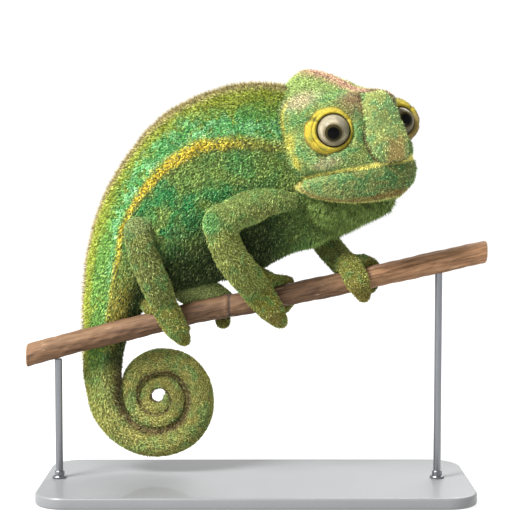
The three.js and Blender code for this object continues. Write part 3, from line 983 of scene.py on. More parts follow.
@dataclass(frozen=True)
class Markings:
    """The pattern that the skin and its pile share, made from the skin's own fields."""

    palette: Palette = Palette()
    stripe: tuple[tuple[float, float], ...] = (
        (0.0, 0.39), (0.15, 0.37), (0.23, 0.31), (0.31, 0.25), (0.4, 0.246), (0.46, 0.252),
        (0.52, 0.279), (0.575, 0.315), (0.615, 0.4), (0.67, 0.467), (0.74, 0.533), (1.0, 0.56))

    def store(self, mesh: bpy.types.Mesh, fields: dict[str, Array]) -> None:
        """Stores how far below the yellow stripe each point of the skin lies."""
        line = np.interp(fields["along"], *zip(*self.stripe))
        put_attribute(mesh, "stripe", fields["down"] - line)

    def colour(self, shader: Shader) -> Socket:
        """The whole animal's colour at a point.

        Args:
            shader: the material to build it in.

        Returns:
            The colour's socket.
        """
        made = self._trunk(shader)
        made = shader.blend(shader.attribute("along").rise(0.88, 1.06), made, self._tail(shader))
        made = shader.blend(shader.attribute("limb"), made, self._limbs(shader))
        return shader.blend(shader.attribute("head").rise(0.3, 0.7), made, self._head(shader))

    def _trunk(self, shader: Shader) -> Socket:
        """Back, stripes, flank and belly."""
        tone = self.palette
        down, stripe, along = (shader.attribute(name) for name in ("down", "stripe", "along"))
        cloud, patch = shader.noise(15, 1.8, twist=0.6), shader.noise(7, 2, twist=1.0)
        speck = shader.noise(1.7, 2)
        ragged = stripe + (patch - 0.5) * 0.06 + (speck - 0.5) * 0.08
        rear = along.rise(0.5, 0.75)
        # The back: lime along the top, then green, then teal above the yellow stripe.
        under = (down + (cloud - 0.5) * 0.14 - rear * 0.05).rise(0.06, 0.17)
        made = shader.blend(under, tone.lime, tone.back_green)
        zone = (ragged + (cloud - 0.5) * 0.12 - rear * 0.1).rise(-0.2, -0.1)
        pale = patch.rise(0.44, 0.64) * (1 - rear * 0.4)
        made = shader.blend(zone, made, shader.blend(pale, tone.teal_green, tone.teal_stripe))
        blotch = shader.noise(10, 2, twist=1.2).rise(0.56, 0.66) * 0.7
        made = shader.blend(blotch, made, tone.lime)
        # The flank and the belly below the stripe.
        teal = (cloud + (speck - 0.5) * 0.2).rise(0.32, 0.66)
        flank = shader.blend(teal, tone.flank, tone.flank_teal)
        flank = shader.blend(patch.rise(0.5, 0.68) * 0.35, flank, tone.limb)
        flank = shader.blend(along.rise(0.32, 0.18) * 0.6, flank, tone.flank)
        # Partly painted shade: the lower flank goes to the belly's dark green, which is partly its own
        # colour.
        low = (down + (cloud - 0.5) * 0.2).rise(0.5, 0.82) * along.rise(0.1, 0.26)
        flank = shader.blend(low, flank, tone.belly)
        made = shader.blend(ragged.rise(0.0, 0.03), made, flank)
        # The stripe: a dull band under it towards the rear, a brown lower edge, then the yellow.
        low = (stripe + (speck - 0.5) * 0.16).band(0.15, 0.14, 0.1) * rear * speck.rise(0.66, 0.5)
        made = shader.blend(low * along.rise(0.92, 0.84) * 0.85, made, tone.low_stripe)
        brown = ragged.band(0.022, 0.04, 0.02) * speck.rise(0.44, 0.58) * 0.7
        made = shader.blend(brown, made, tone.orange_brown)
        yellow = ragged.band(-0.002, 0.032, 0.02) * (0.3 + along.rise(0.16, 0.32) * 0.6)
        yellow = yellow * (1 - rear * 0.62) * speck.rise(0.6, 0.48) * along.rise(0.94, 0.84)
        made = shader.blend(yellow, made, tone.yellow)
        # The nape behind the head, pale flecks, and the crest's own row.
        neck = (along + (cloud - 0.5) * 0.05).rise(0.12, 0.04) * down.rise(0.6, 0.4)
        made = shader.blend(neck * 0.6, made, tone.nape)
        fleck = speck.rise(0.6, 0.7) * down.band(0.4, 0.2, 0.2) * 0.45
        made = shader.blend(fleck, made, tone.fleck)
        crest = (down + (patch - 0.5) * 0.02).rise(0.05, 0.015) * 0.8
        return shader.blend(crest, made, tone.crest)

    def _tail(self, shader: Shader) -> Socket:
        """The tail, with a dark brown edge between its turns, partly its own brown and partly painted shade
        in the groove.
        """
        tone = self.palette
        down, along = shader.attribute("down"), shader.attribute("along")
        cloud, speck = shader.noise(12, 1.5, twist=0.8), shader.noise(1.6, 2)
        made = shader.blend((cloud + (speck - 0.5) * 0.3).rise(0.38, 0.76), tone.tail, tone.tail_teal)
        made = shader.blend(down.band(0.5, 0.2, 0.25) * speck.rise(0.5, 0.66) * 0.6, made, tone.tail_cream)
        # Dark brown where one turn meets the next: partly the tail's own edge, partly painted shade in the
        # groove.
        edge = down.rise(0.74, 0.94) + down.rise(0.2, 0.05) * along.rise(1.32, 1.42)
        return shader.blend(edge * 0.85, made, tone.tail_edge)

    def _limbs(self, shader: Shader) -> Socket:
        """Upper limbs, lower limbs and feet."""
        tone = self.palette
        cloud, speck = shader.noise(9, 1.5, twist=0.8), shader.noise(1.7, 2)

        def spot(centre: Triple, size: Triple) -> Value:
            """A ragged patch about a place, with its half size along each axis."""
            metres = [tuple(value * MM for value in values) for values in (centre, size)]
            return (shader.blob(shader.place, *metres) + (cloud - 0.5) * 0.6).rise(1.2, 0.5)

        run, fore = shader.attribute("run"), shader.attribute("fore")
        made = shader.blend(run.rise(0.1, 0.9), tone.limb, tone.limb_low)
        # Painted light and shade: the upper hind leg is made darkest and the fore legs lightest.
        made = shader.shaded(made, 0.74 + fore * 0.62 + run * (0.36 - fore * 0.52))
        made = shader.blend(cloud.rise(0.52, 0.64) * 0.35, made, tone.flank_teal)
        made = shader.blend(spot((-31, -44, 190), (9, 14, 9)) * 0.6, made, tone.flank_teal)
        made = shader.blend(spot((-86, -30, 192), (13, 20, 12)) * 0.3, made, tone.pale_green)
        made = shader.blend(spot((-80, -34, 196), (6, 16, 5)) * 0.4, made, tone.tan)
        made = shader.blend(spot((5, -38, 198), (13, 16, 6)) * 0.2, made, tone.tan)
        made = shader.blend(spot((14, -26, 121), (9, 12, 8)) * 0.5, made, tone.tan)
        made = shader.blend(spot((72, -16, 140), (12, 10, 14)) * 0.4, made, tone.tan)
        # Painted light: the far hind foot, in the body's shadow, is made pale green.
        made = shader.blend(spot((-38, 8, 134), (26, 22, 14)), made, tone.pale_green)
        return shader.blend(speck.rise(0.56, 0.68) * 0.35, made, tone.fleck)

    def _head(self, shader: Shader) -> Socket:
        """Casque, cheeks, snout strip, lips, jaw and throat."""
        tone = self.palette
        face = shader.vector_attribute("face")
        cloud, speck = shader.noise(9, 1.5, twist=0.8), shader.noise(1.5, 2)
        lip, edge, strip = (shader.attribute(name) for name in ("lip", "edge", "strip"))
        forward, across, height = (self._part(shader, face, axis) for axis in range(3))

        def spot(centre: Triple, size: Triple) -> Value:
            """A ragged patch about a place of the head, with its half size along each axis."""
            return (shader.blob(face, centre, size) + (cloud - 0.5) * 0.6).rise(1.4, 0.2)

        made = shader.blend(cloud.rise(0.38, 0.66), tone.face, tone.face_teal)
        made = shader.blend((height + (cloud - 0.5) * 12).rise(20, 38), made, tone.casque)
        made = shader.blend(speck.rise(0.54, 0.66) * height.rise(24, 0) * 0.4, made, tone.fleck)
        crown = (abs(across) + (cloud - 0.5) * 5).rise(11, 0) * height.rise(8, 22) * forward.rise(-76, -36)
        made = shader.blend(crown * 0.95, made, tone.pink)
        for side in (-1, 1):
            made = shader.blend(spot((-30, 27 * side, 27), (20, 14, 8)) * 0.75, made, tone.pale_pink)
            made = shader.blend(spot((9, 13 * side, 17), (15, 10, 14)) * 0.8, made, tone.brow)
            made = shader.blend(spot((-39, 36 * side, 0), (7, 12, 9)) * 0.8, made, tone.nape)
            made = shader.blend(spot((-36, 36 * side, -13), (5, 12, 5)) * 0.8, made, tone.nape)
            made = shader.blend(spot((-30, 35 * side, 14), (6, 8, 5)) * 0.8, made, tone.face_teal)
            made = shader.blend(spot((-8, 33 * side, -19), (16, 8, 4)) * 0.5, made, tone.pale_pink)
        rear = (forward + (cloud - 0.5) * 4).band(-42.5, 1.6, 1.6) * height.rise(34, 24) * height.rise(4, 12)
        made = shader.blend(rear * 0.8, made, tone.nape)
        made = shader.blend(lip.rise(-0.9, -1.9), made, self._jaw(shader, cloud, edge))
        made = shader.blend((lip + (speck - 0.5) * 0.9).band(1.0, 1.8, 1.2), made, tone.lip)
        for side in (-1, 1):
            made = shader.blend(spot((-43, 37 * side, -29), (7, 9, 3)) * 0.3, made, tone.lip)
        plate = shader.blend(cloud.rise(0.38, 0.66), tone.strip, tone.strip_teal)
        plate = shader.blend(speck.rise(0.54, 0.66) * 0.35, plate, tone.fleck)
        made = shader.blend(strip.rise(-0.8, 0.8), made, plate)
        # Painted shade: dark brown along the sunken seam at the strip's edge, below and above its middle.
        low = (height + (cloud - 0.5) * 8).rise(2, -8) + height.rise(14, 18)
        made = shader.blend(strip.band(-0.4, 1.0, 1.0) * low, made, tone.strip_edge)
        tip = (strip + (cloud - 0.5) * 2).rise(0.4, 2.0) * (across - 1).band(0.0, 7.5, 3.5)
        made = shader.blend(tip * (height + (cloud - 0.5) * 9).rise(-10, -18) * 0.85, made, tone.nose)
        return shader.blend(shader.attribute("throat").rise(0.4, 0.8), made, self._throat(shader, cloud))

    def _jaw(self, shader: Shader, cloud: Value, edge: Value) -> Socket:
        """The band between the mouth and the edge of the lower jaw."""
        tone = self.palette
        made = shader.blend(cloud.rise(0.38, 0.66), tone.jaw, tone.jaw_teal)
        made = shader.blend(edge.band(2.4, 1.4, 1.8) * 0.7, made, tone.jaw_line)
        return shader.blend(edge.band(0.3, 0.4, 0.5) * 0.35, made, tone.lip)

    def _throat(self, shader: Shader, cloud: Value) -> Socket:
        """The long fibres under the jaw."""
        return shader.blend(cloud.rise(0.4, 0.65), self.palette.throat, self.palette.throat_light)

    @staticmethod
    def _part(shader: Shader, vector: Socket, axis: int) -> Value:
        """One axis of a vector."""
        return shader.value("ShaderNodeSeparateXYZ", {}, {0: vector}, axis)


@dataclass(frozen=True)
class SkinFinish:
    """The woven ground under the pile, in the same markings but darker."""

    markings: Markings = Markings()
    light: float = 0.5
    roughness: float = 0.95

    def material(self) -> bpy.types.Material:
        """Builds the material."""
        shader = Shader("pile ground")
        grain = shader.noise(0.7, 2)
        colour = shader.shaded(self.markings.colour(shader), (grain - 0.5) * 0.8 + self.light)
        normal = shader.bumped(grain, 0.6)
        return shader.close({
            "Base Color": colour, "Roughness": self.roughness, "Normal": normal, "Specular IOR Level": 0.1,
        })


@dataclass(frozen=True)
class PileFinish:
    """The fibres of the pile: painted shade, darkest at the root and lifting to light at the tip, each with
    a shade of its own.
    """

    markings: Markings = Markings()
    root_light: float = 0.08
    tip_gain: float = 1.58
    spread: float = 1.3
    clump: float = 1.1

    def material(self) -> bpy.types.Material:
        """Builds the material."""
        shader = Shader("pile fibre")
        shade, tip = shader.attribute("shade"), shader.attribute("tip")
        colour = self.markings.colour(shader)
        colour = shader.blend(shade.rise(0.8, 1.0) * 0.3, colour, self.markings.palette.fleck)
        down, along, head = (shader.attribute(name) for name in ("down", "along", "head"))
        crest = shade.rise(0.45, 0.6) * down.rise(0.03, 0.006) * along.rise(1, 0.8)
        colour = shader.blend(crest * (1 - head) * 0.6, colour, self.markings.palette.crest_hair)
        # Painted shade: darkest at each tuft's root, lifting to its tip, and darker in the gaps between
        # clumps.
        light = (self.root_light + tip * self.tip_gain) * (1 - self.spread / 2 + shade * self.spread)
        light = light * (1 - self.clump / 2 + shader.noise(2.1, 2) * self.clump)
        return shader.close({
            "Base Color": shader.shaded(colour, light), "Roughness": 0.78, "Specular IOR Level": 0.22,
            "Sheen Weight": 0.12, "Sheen Roughness": 0.5,
        })


# ---- The pile ------------------------------------------------------------------------------


@dataclass(frozen=True)
class Tuft:
    """One tuft of fibres as a thin closed sliver, widest below its middle."""

    width: float = 1.0
    thick: float = 0.45
    belly: float = 0.4
    patch: float = 0.003

    def build(self) -> bpy.types.Object:
        """Makes the tuft a unit long, with its share of the length and its bake patch stored."""
        points = np.array([
            (0, -self.thick / 2, 0), (self.width / 2, self.thick / 2, self.belly),
            (-self.width / 2, self.thick / 2, self.belly), (0, 0, 1),
        ])
        made = new_mesh("tuft", points / MM, [(0, 1, 2), (0, 3, 1), (0, 2, 3), (1, 3, 2)])
        put_attribute(made.data, "tip", points[:, 2])
        corners = np.array([(0, -1, 0), (1, 0, 0), (-1, 0, 0), (0, 1, 0)]) * self.patch / 2
        put_attribute(made.data, "patch", corners)
        return made


@dataclass(frozen=True)
class Growth:
    """How one stretch of the coat grows: how many tufts, how wide, and how far they go astray.

    A stretch may also grow taller than its ground asks, or lie flatter or steeper.
    """

    name: str
    count: int
    width: float
    astray: float
    tall: float = 1.0
    lay: float = 1.0


class Region(Enum):
    """The stretches of the coat, each a piece of its own."""

    HEAD_RIGHT = Growth("pile_head_right", 43000, 0.46, 0.42)
    HEAD_LEFT = Growth("pile_head_left", 43000, 0.46, 0.42)
    THROAT = Growth("pile_throat", 22000, 0.52, 0.42)
    SHOULDERS = Growth("pile_shoulders", 43000, 0.64, 0.5)
    FLANKS = Growth("pile_flanks", 44000, 0.64, 0.52)
    RUMP = Growth("pile_rump", 38000, 0.58, 0.46)
    TAIL = Growth("pile_tail", 47000, 0.5, 0.34)
    FORE_LEGS = Growth("pile_fore_legs", 43000, 0.5, 0.4)
    HIND_LEGS = Growth("pile_hind_legs", 37000, 0.5, 0.4)
    CREST = Growth("pile_crest", 3000, 0.38, 0.36, 2.0, 0.5)
    FRINGE = Growth("pile_fringe", 3600, 0.4, 0.35, 1.4, 0.9)


@dataclass
class Pile:
    """The coat, grown over the skin by one geometry tree."""

    seed: int = 7
    cuts: tuple[float, float] = (0.31, 0.58)
    crest: float = 0.01
    fringe: float = -52.0
    tuft: bpy.types.Object = field(init=False)
    tree: bpy.types.NodeTree = field(init=False)

    def build(self, skin: bpy.types.Object, fields: dict[str, Array], face: Array) -> None:
        """Grows every region of the coat.

        Args:
            skin: the skin that carries the fields.
            fields: the fields by name.
            face: the skin's points in the head's frame.
        """
        material = PileFinish().material()
        self.tuft, self.tree = Tuft().build(), self._tree()
        masks = self._regions(skin, fields, face)
        for number, region in enumerate(Region):
            ground = self._ground(skin, masks[region], region.value.name)
            piece = self.grow(ground, material, region.value, self.seed + number)
            finish_piece(piece)

    def _regions(
        self, skin: bpy.types.Object, fields: dict[str, Array], face: Array,
    ) -> dict[Region, Array]:
        """Which of the skin's faces each region grows on. The crest and fringe overlap others."""
        first = np.array([polygon.vertices[0] for polygon in skin.data.polygons])
        order = list(Region)
        along = fields["along"][first]
        owner = np.full(len(first), order.index(Region.FLANKS))
        owner[along < self.cuts[0]] = order.index(Region.SHOULDERS)
        owner[along > self.cuts[1]] = order.index(Region.RUMP)
        owner[along > 1] = order.index(Region.TAIL)
        limb, fore = fields["limb"][first] > 0.5, fields["fore"][first] > 0.5
        owner[limb] = order.index(Region.HIND_LEGS)
        owner[limb & fore] = order.index(Region.FORE_LEGS)
        head = fields["head"][first] > 0.5
        owner[head & (face[first, 1] < 0)] = order.index(Region.HEAD_RIGHT)
        owner[head & (face[first, 1] >= 0)] = order.index(Region.HEAD_LEFT)
        owner[head & (fields["throat"][first] > 0.5)] = order.index(Region.THROAT)
        masks = {region: owner == number for number, region in enumerate(order)}
        masks[Region.CREST] = (fields["down"][first] < self.crest) & (along < 0.95) & ~head & ~limb
        masks[Region.FRINGE] = masks[Region.THROAT] & (face[first, 2] < self.fringe)
        return masks

    @staticmethod
    def _ground(skin: bpy.types.Object, keep: Array, name: str) -> bpy.types.Object:
        """A copy of part of the skin, with its fields and an unwrap of its own."""
        ground = skin.copy()
        ground.data = skin.data.copy()
        ground.name = f"ground of {name}"
        ground.parent = None
        bpy.context.scene.collection.objects.link(ground)
        bpy.ops.object.select_all(action="DESELECT")
        bpy.context.view_layer.objects.active = ground
        ground.select_set(True)
        bpy.ops.object.mode_set(mode="EDIT")
        bpy.ops.mesh.select_mode(type="FACE")
        bpy.ops.object.mode_set(mode="OBJECT")
        ground.data.polygons.foreach_set("select", ~keep)
        bpy.ops.object.mode_set(mode="EDIT")
        bpy.ops.mesh.delete(type="FACE")
        bpy.ops.mesh.select_all(action="SELECT")
        bpy.ops.uv.smart_project(angle_limit=math.radians(66), island_margin=0.002)
        bpy.ops.object.mode_set(mode="OBJECT")
        ground.data.uv_layers[0].name = "unwrap"
        return ground

    def grow(
        self, ground: bpy.types.Object, material: bpy.types.Material, growth: Growth, seed: int,
    ) -> bpy.types.Object:
        """Grows tufts over a ground, which is removed.

        Args:
            ground: a mesh with the fields that the tree reads.
            material: the tufts' material.
            growth: how many tufts there are, and how they stand.
            seed: the number that the random places come from.

        Returns:
            The tufts as one plain mesh.
        """
        area = sum(polygon.area for polygon in ground.data.polygons)
        change = ground.modifiers.new("pile", "NODES")
        change.node_group = self.tree
        values = {
            "Density": growth.count / area, "Width": growth.width * MM, "Seed": seed,
            "Tuft": self.tuft, "Finish": material, "Astray": growth.astray, "Tall": growth.tall,
            "Lay": growth.lay,
        }
        for item in self.tree.interface.items_tree:
            if item.name in values and item.in_out == "INPUT":
                change[item.identifier] = values[item.name]
        LOG.info("%s: %.0f square millimetres", growth.name, area / MM**2)
        made = baked_copy(ground, growth.name)
        made.data.materials.clear()
        made.data.materials.append(material)
        return made

    @staticmethod
    def _tree(lift: float = 0.12) -> bpy.types.NodeTree:
        """The tree that scatters tufts over a ground and leans them the way the coat runs.

        Args:
            lift: how far even a tuft that lies flat points away from the ground.

        Returns:
            The tree, as a group for modifiers.
        """
        group = bpy.data.node_groups.new("pile tufts", "GeometryNodeTree")
        sockets = {
            "Density": "NodeSocketFloat", "Width": "NodeSocketFloat", "Seed": "NodeSocketInt",
            "Tuft": "NodeSocketObject", "Finish": "NodeSocketMaterial", "Astray": "NodeSocketFloat",
            "Tall": "NodeSocketFloat", "Lay": "NodeSocketFloat",
        }
        group.interface.new_socket("Geometry", in_out="INPUT", socket_type="NodeSocketGeometry")
        for name, kind in sockets.items():
            group.interface.new_socket(name, in_out="INPUT", socket_type=kind)
        group.interface.new_socket("Geometry", in_out="OUTPUT", socket_type="NodeSocketGeometry")
        tree = Tree(group)
        given = tree.node("NodeGroupInput").outputs

        def named(kind: str, name: str) -> Socket:
            """A field stored on the ground."""
            made = tree.node("GeometryNodeInputNamedAttribute", {"data_type": kind}, {"Name": name})
            return made.outputs[0]

        def chance(low: float, high: float, shift: int) -> Socket:
            """A random number for each tuft."""
            seed = Value(tree, given["Seed"]) * 10 + shift
            sockets = {2: low, 3: high, 8: seed}
            return tree.node("FunctionNodeRandomValue", {"data_type": "FLOAT"}, sockets).outputs[1]

        def vector(operation: str, first: Any, second: Any, key: int | str = 1) -> Socket:
            """One Vector Math node."""
            sockets = {0: first, key: second}
            return tree.node("ShaderNodeVectorMath", {"operation": operation}, sockets).outputs[0]

        spread = tree.node(
            "GeometryNodeDistributePointsOnFaces", {"distribute_method": "RANDOM"},
            {"Mesh": given["Geometry"], "Density": given["Density"], "Seed": given["Seed"]},
        ).outputs
        lean = Value(tree, named("FLOAT", "lean")) * given["Lay"]
        upright = vector("SCALE", spread["Normal"], 1 - lean, "Scale")
        lying = vector("SCALE", named("FLOAT_VECTOR", "comb"), lean, "Scale")
        toss = tree.node(
            "FunctionNodeRandomValue", {"data_type": "FLOAT_VECTOR"},
            {0: (-1.0,) * 3, 1: (1.0,) * 3, 8: given["Seed"]},
        ).outputs[0]
        astray = vector("SCALE", toss, given["Astray"], "Scale")
        along_skin = vector("ADD", vector("ADD", upright, lying), astray)
        lifted = vector("ADD", along_skin, vector("SCALE", spread["Normal"], lift, "Scale"))
        spin = tree.node("ShaderNodeCombineXYZ", {}, {2: chance(0.0, 2 * math.pi, 1)}).outputs[0]
        spun = tree.node("FunctionNodeEulerToRotation", {}, {0: spin}).outputs[0]
        turned = tree.node(
            "FunctionNodeAlignRotationToVector", {"axis": "Z"}, {"Rotation": spun, "Vector": lifted})
        wide = Value(tree, given["Width"]) * Value(tree, chance(0.75, 1.3, 2))
        tall = Value(tree, named("FLOAT", "pile")) * Value(tree, chance(0.7, 1.25, 3)) * given["Tall"]
        size = tree.node("ShaderNodeCombineXYZ", {}, {0: wide, 1: wide, 2: tall}).outputs[0]
        marked = tree.node(
            "GeometryNodeStoreNamedAttribute", {"data_type": "FLOAT", "domain": "POINT"},
            {"Geometry": spread["Points"], "Name": "shade", "Value": chance(0.0, 1.0, 4)},
        ).outputs[0]
        shape = tree.node("GeometryNodeObjectInfo", {}, {"Object": given["Tuft"]}).outputs["Geometry"]
        planted = tree.node(
            "GeometryNodeInstanceOnPoints", {},
            {"Points": marked, "Instance": shape, "Rotation": turned.outputs[0], "Scale": size},
        ).outputs[0]
        real = tree.node("GeometryNodeRealizeInstances", {}, {0: planted}).outputs[0]
        patch = vector("ADD", named("FLOAT_VECTOR", "unwrap"), named("FLOAT_VECTOR", "patch"))
        mapped = tree.node(
            "GeometryNodeStoreNamedAttribute", {"data_type": "FLOAT2", "domain": "CORNER"},
            {"Geometry": real, "Name": "OFBake", "Value": patch},
        ).outputs[0]
        done = tree.node("GeometryNodeSetMaterial", {}, {"Geometry": mapped, "Material": given["Finish"]})
        tree.node("NodeGroupOutput", {}, {0: done.outputs[0]})
        return group


# ---- Eyes ----------------------------------------------------------------------------------


@dataclass(frozen=True)
class EyeFinish:
    """A domed toy eye: black pupil, olive ring, grey-white iris and a thin black rim."""

    pale: Triple = paint(152, 144, 122)
    grey: Triple = paint(118, 112, 94)
    olive: Triple = paint(44, 40, 20)
    brown: Triple = paint(86, 76, 50)
    umber: Triple = paint(84, 80, 62)

    def material(self) -> bpy.types.Material:
        """Builds the material, which reads the angles from the gaze and from the lid's middle."""
        shader = Shader("toy eye")
        polar, rim = shader.attribute("polar"), shader.attribute("rim")
        streak, soft = shader.noise(0.9, 4, twist=0.4), shader.noise(5, 2)
        made = shader.blend(soft.rise(0.35, 0.65), self.grey, self.pale)
        made = shader.blend(streak.rise(0.52, 0.75) * 0.3, made, self.brown)
        # Painted shade: the far eye's ball is darkened towards umber, a shaded copy of the near one.
        made = shader.blend(shader.attribute("soil"), made, self.umber)
        uneven = polar + (streak - 0.5) * 5
        made = shader.blend(uneven.rise(44, 33) * 0.75, made, self.brown)
        made = shader.blend(uneven.rise(33.5, 29.5), made, self.olive)
        made = shader.blend((polar + (streak - 0.5) * 2).rise(23.5, 20), made, (0.001, 0.001, 0.001))
        made = shader.blend((rim + (soft - 0.5) * 14).rise(48, 74) * 0.6, made, self.brown)
        made = shader.blend((rim + (streak - 0.5) * 3).rise(74, 78), made, (0.003, 0.003, 0.002))
        return shader.close({
            "Base Color": made, "Roughness": 0.4, "Specular IOR Level": 0.0,
            "Coat Weight": 0.6, "Coat Roughness": 0.03, "Coat IOR": 1.2,
        })


@dataclass(frozen=True)
class LidFinish:
    """Yellow felt, with painted shade in olive along its creases, folds and edges."""

    yellow: Triple = paint(172, 152, 46)
    green: Triple = paint(142, 142, 54)
    # The olive of the painted shade in the creases.
    olive: Triple = paint(70, 64, 20)
    tan: Triple = paint(132, 112, 74)

    def material(self, name: str, fibre: bool) -> bpy.types.Material:
        """Builds the felt, as ground or as its fuzz.

        Args:
            name: the material's name.
            fibre: whether it is for the fuzz, which has a tip and a shade.

        Returns:
            The material.
        """
        shader = Shader(name)
        crease = shader.attribute("crease")
        soft, grain = shader.noise(4, 3), shader.noise(0.6, 2)
        made = shader.blend(soft.rise(0.42, 0.66) * 0.7, self.yellow, self.green)
        # Painted shade: olive where the felt creases, folds, and turns under at its edges.
        made = shader.blend((crease + (soft - 0.5) * 0.8).rise(0.25, 0.95) * 0.85, made, self.olive)
        # Painted shade: the far lid goes tan on its lower rear side.
        made = shader.blend(shader.attribute("soil"), made, self.tan)
        light = (grain - 0.5) * 0.6 + 0.95
        if fibre:
            # Painted shade at each fibre's root, lifting towards its tip.
            light = (0.55 + shader.attribute("tip") * 0.6) * (0.75 + shader.attribute("shade") * 0.5)
        normal = shader.bumped(grain, 0.35)
        return shader.close({
            "Base Color": shader.shaded(made, light), "Roughness": 0.85, "Normal": normal,
            "Specular IOR Level": 0.15, "Sheen Weight": 0.1,
        })


@dataclass
class Eye:
    """One eye: a domed ball with a dark rim, in a rolled felt lid."""

    side: int
    head: HeadFrame = field(default_factory=HeadFrame)
    out: float = 28.9
    lid_turn: float = 34.0
    look_turn: float = 40.5
    look_dip: float = 14.0
    ball: float = 10.8
    gap: float = 0.15
    # How much painted shade darkens the ball, and the lid's lower rear side.
    soil: float = 0.0
    brow: float = 1.2
    width: float = 4.2
    rear_width: float = 3.9
    front_width: float = -0.6
    hood: float = 0.0
    rings: int = 72
    sides: int = 72
    lid_sides: int = 140
    fuzz: Growth = Growth("lid_fuzz", 7000, 0.34, 0.6)
    fuzz_seed: int = 40
    folds: tuple[Triple, ...] = ((42, 0.12, 0.8), (153, 0.1, 0.6), (-15, 0.12, 0.2), (-75, 0.1, 0.2))
    roll: Curve = Curve(
        [(0, -3.0), (0.01, 0.3), (0.07, 2.0), (0.24, 2.9), (0.5, 2.3), (0.8, 0.2), (1, -2.2),
         (0.96, -5.5), (0.4, -7.0)], 0.5)

    @property
    def name(self) -> str:
        """The animal's own side in words."""
        return "left" if self.side > 0 else "right"

    def _axes(self) -> Array:
        """The lid's way forward, rearward and up in the shared frame, as rows."""
        turn = math.radians(self.lid_turn) * self.side
        gaze = np.array([math.cos(turn), math.sin(turn), 0])
        rear = np.array([-abs(math.sin(turn)), math.cos(turn) * self.side, 0])
        return np.array([gaze, rear, [0, 0, 1]]) @ self.head.turn().T

    def _look(self) -> Array:
        """The way that the pupil looks in the shared frame."""
        turn, dip = math.radians(self.look_turn) * self.side, math.radians(self.look_dip)
        level = math.cos(dip)
        look = np.array([math.cos(turn) * level, math.sin(turn) * level, -math.sin(dip)])
        return look @ self.head.turn().T

    def _centre(self) -> Array:
        """The ball's middle in the shared frame."""
        return self.head.outside(np.array([[0, self.out * self.side, 0]]))[0]

    def _reach(self, rearward: Array, upward: Array) -> Array:
        """How far the lid reaches from the middle of the ball, by direction."""
        width = self.width + self.brow * np.maximum(upward, 0) ** 2
        width = width + self.rear_width * np.maximum(rearward, 0) ** 2
        return self.ball + width + self.front_width * np.maximum(-rearward, 0)

    def sink(self, points: Array) -> Array:
        """Pushes any skin that would stand in front of the lid back behind it."""
        gaze, rear, up = self._axes()
        away = points - self._centre()
        forward, back, high = away @ gaze, away @ rear, away @ up
        radius = np.maximum(np.hypot(back, high), 0.1)
        near = 1 - smooth(radius - self._reach(back / radius, high / radius), -1.4, 1.8)
        excess = np.maximum(forward + 3.4, 0) * near * (forward < 30)
        return points - gaze * excess[:, None]

    def build(self, pile: Pile, finishes: Sequence[bpy.types.Material]) -> None:
        """Makes the ball and its lid, with the felt's fuzz.

        Args:
            pile: the coat, whose tree and tuft the fuzz grows with.
            finishes: the materials of the fuzz, the felt and the ball.
        """
        fuzz, felt, ball = finishes
        self._ball(ball)
        lid = self._lid()
        ground = self._ground(lid)
        lid.data.materials.append(felt)
        finish_piece(lid, [f"eyelids_{self.name}"])
        growth = replace(self.fuzz, name=f"lid_fuzz_{self.name}")
        grown = pile.grow(ground, fuzz, growth, self.fuzz_seed + self.side)
        finish_piece(grown)

    def _turned(self, forward: Array, radius: Array, angle: Array) -> Array:
        """Points from their place along the lid's axis, their radius and their angle round it."""
        gaze, rear, up = self._axes()
        round_it = rear * np.cos(angle)[..., None] + up * np.sin(angle)[..., None]
        return self._centre() + gaze * forward[..., None] + round_it * radius[..., None]

    def _ball(self, material: bpy.types.Material) -> None:
        """The domed ball, with the angles that its rings of colour need."""
        rim = np.linspace(0.5, 179.5, self.rings)
        tilt, spin = np.meshgrid(np.radians(rim), round_turn(self.sides) * self.side, indexing="ij")
        points = self._turned(np.cos(tilt) * self.ball, np.sin(tilt) * self.ball, spin)
        points = points.reshape(-1, 3)
        made = new_mesh(f"eye_ball_{self.name}", points, grid_faces(len(rim), self.sides))
        facing = (points - self._centre()) @ self._look() / self.ball
        put_attribute(made.data, "polar", np.degrees(np.arccos(np.clip(facing, -1, 1))))
        put_attribute(made.data, "rim", np.repeat(rim, self.sides))
        put_attribute(made.data, "soil", np.full(len(points), self.soil))
        made.data.materials.append(material)
        made.data.shade_smooth()
        finish_piece(made, [f"eye_{self.name}"])

    def _lid(self) -> bpy.types.Object:
        """The rolled lid round the ball, wider behind and above, with folds at both its corners.

        Returns:
            The lid's object, with the fields that its felt and its fuzz read.
        """
        sides = self.lid_sides
        angle = round_turn(sides) * self.side
        rearward, upward = np.cos(angle), np.sin(angle)
        turn = np.arctan2(upward, rearward)
        fold = sum(deep * bell(turn - math.radians(place), wide) for place, wide, deep in self.folds)
        wave = 0.16 * np.sin(angle * 5 + 1) + 0.1 * np.sin(angle * 11 + 2)
        wave += 0.7 * bell(turn - math.radians(160), 0.16)
        edge = self._reach(rearward, upward) + wave
        roll = self.roll.at(np.linspace(0, 1, 24))
        share, forward = roll[:, 0:1], roll[:, 1:2]
        inner = self.ball + self.gap
        reach = inner + (edge - inner) * share
        groove = bell(reach - self.ball - 3.6, 0.5) * smooth(rearward, 0.1, 0.7)
        high = forward + wave * 0.3 * bell(share - 0.4, 0.4)
        high = high + self.hood * smooth(rearward, 0.0, 0.9) * bell(share - 0.3, 0.6)
        high = high - groove * 1.4 - fold * 1.5 * bell(share - 0.5, 0.5)
        round_it = np.broadcast_to(angle, reach.shape)
        points = self._turned(high, reach, round_it).reshape(-1, 3)
        rows = len(roll)
        faces = grid_faces(rows, sides, closed=False)
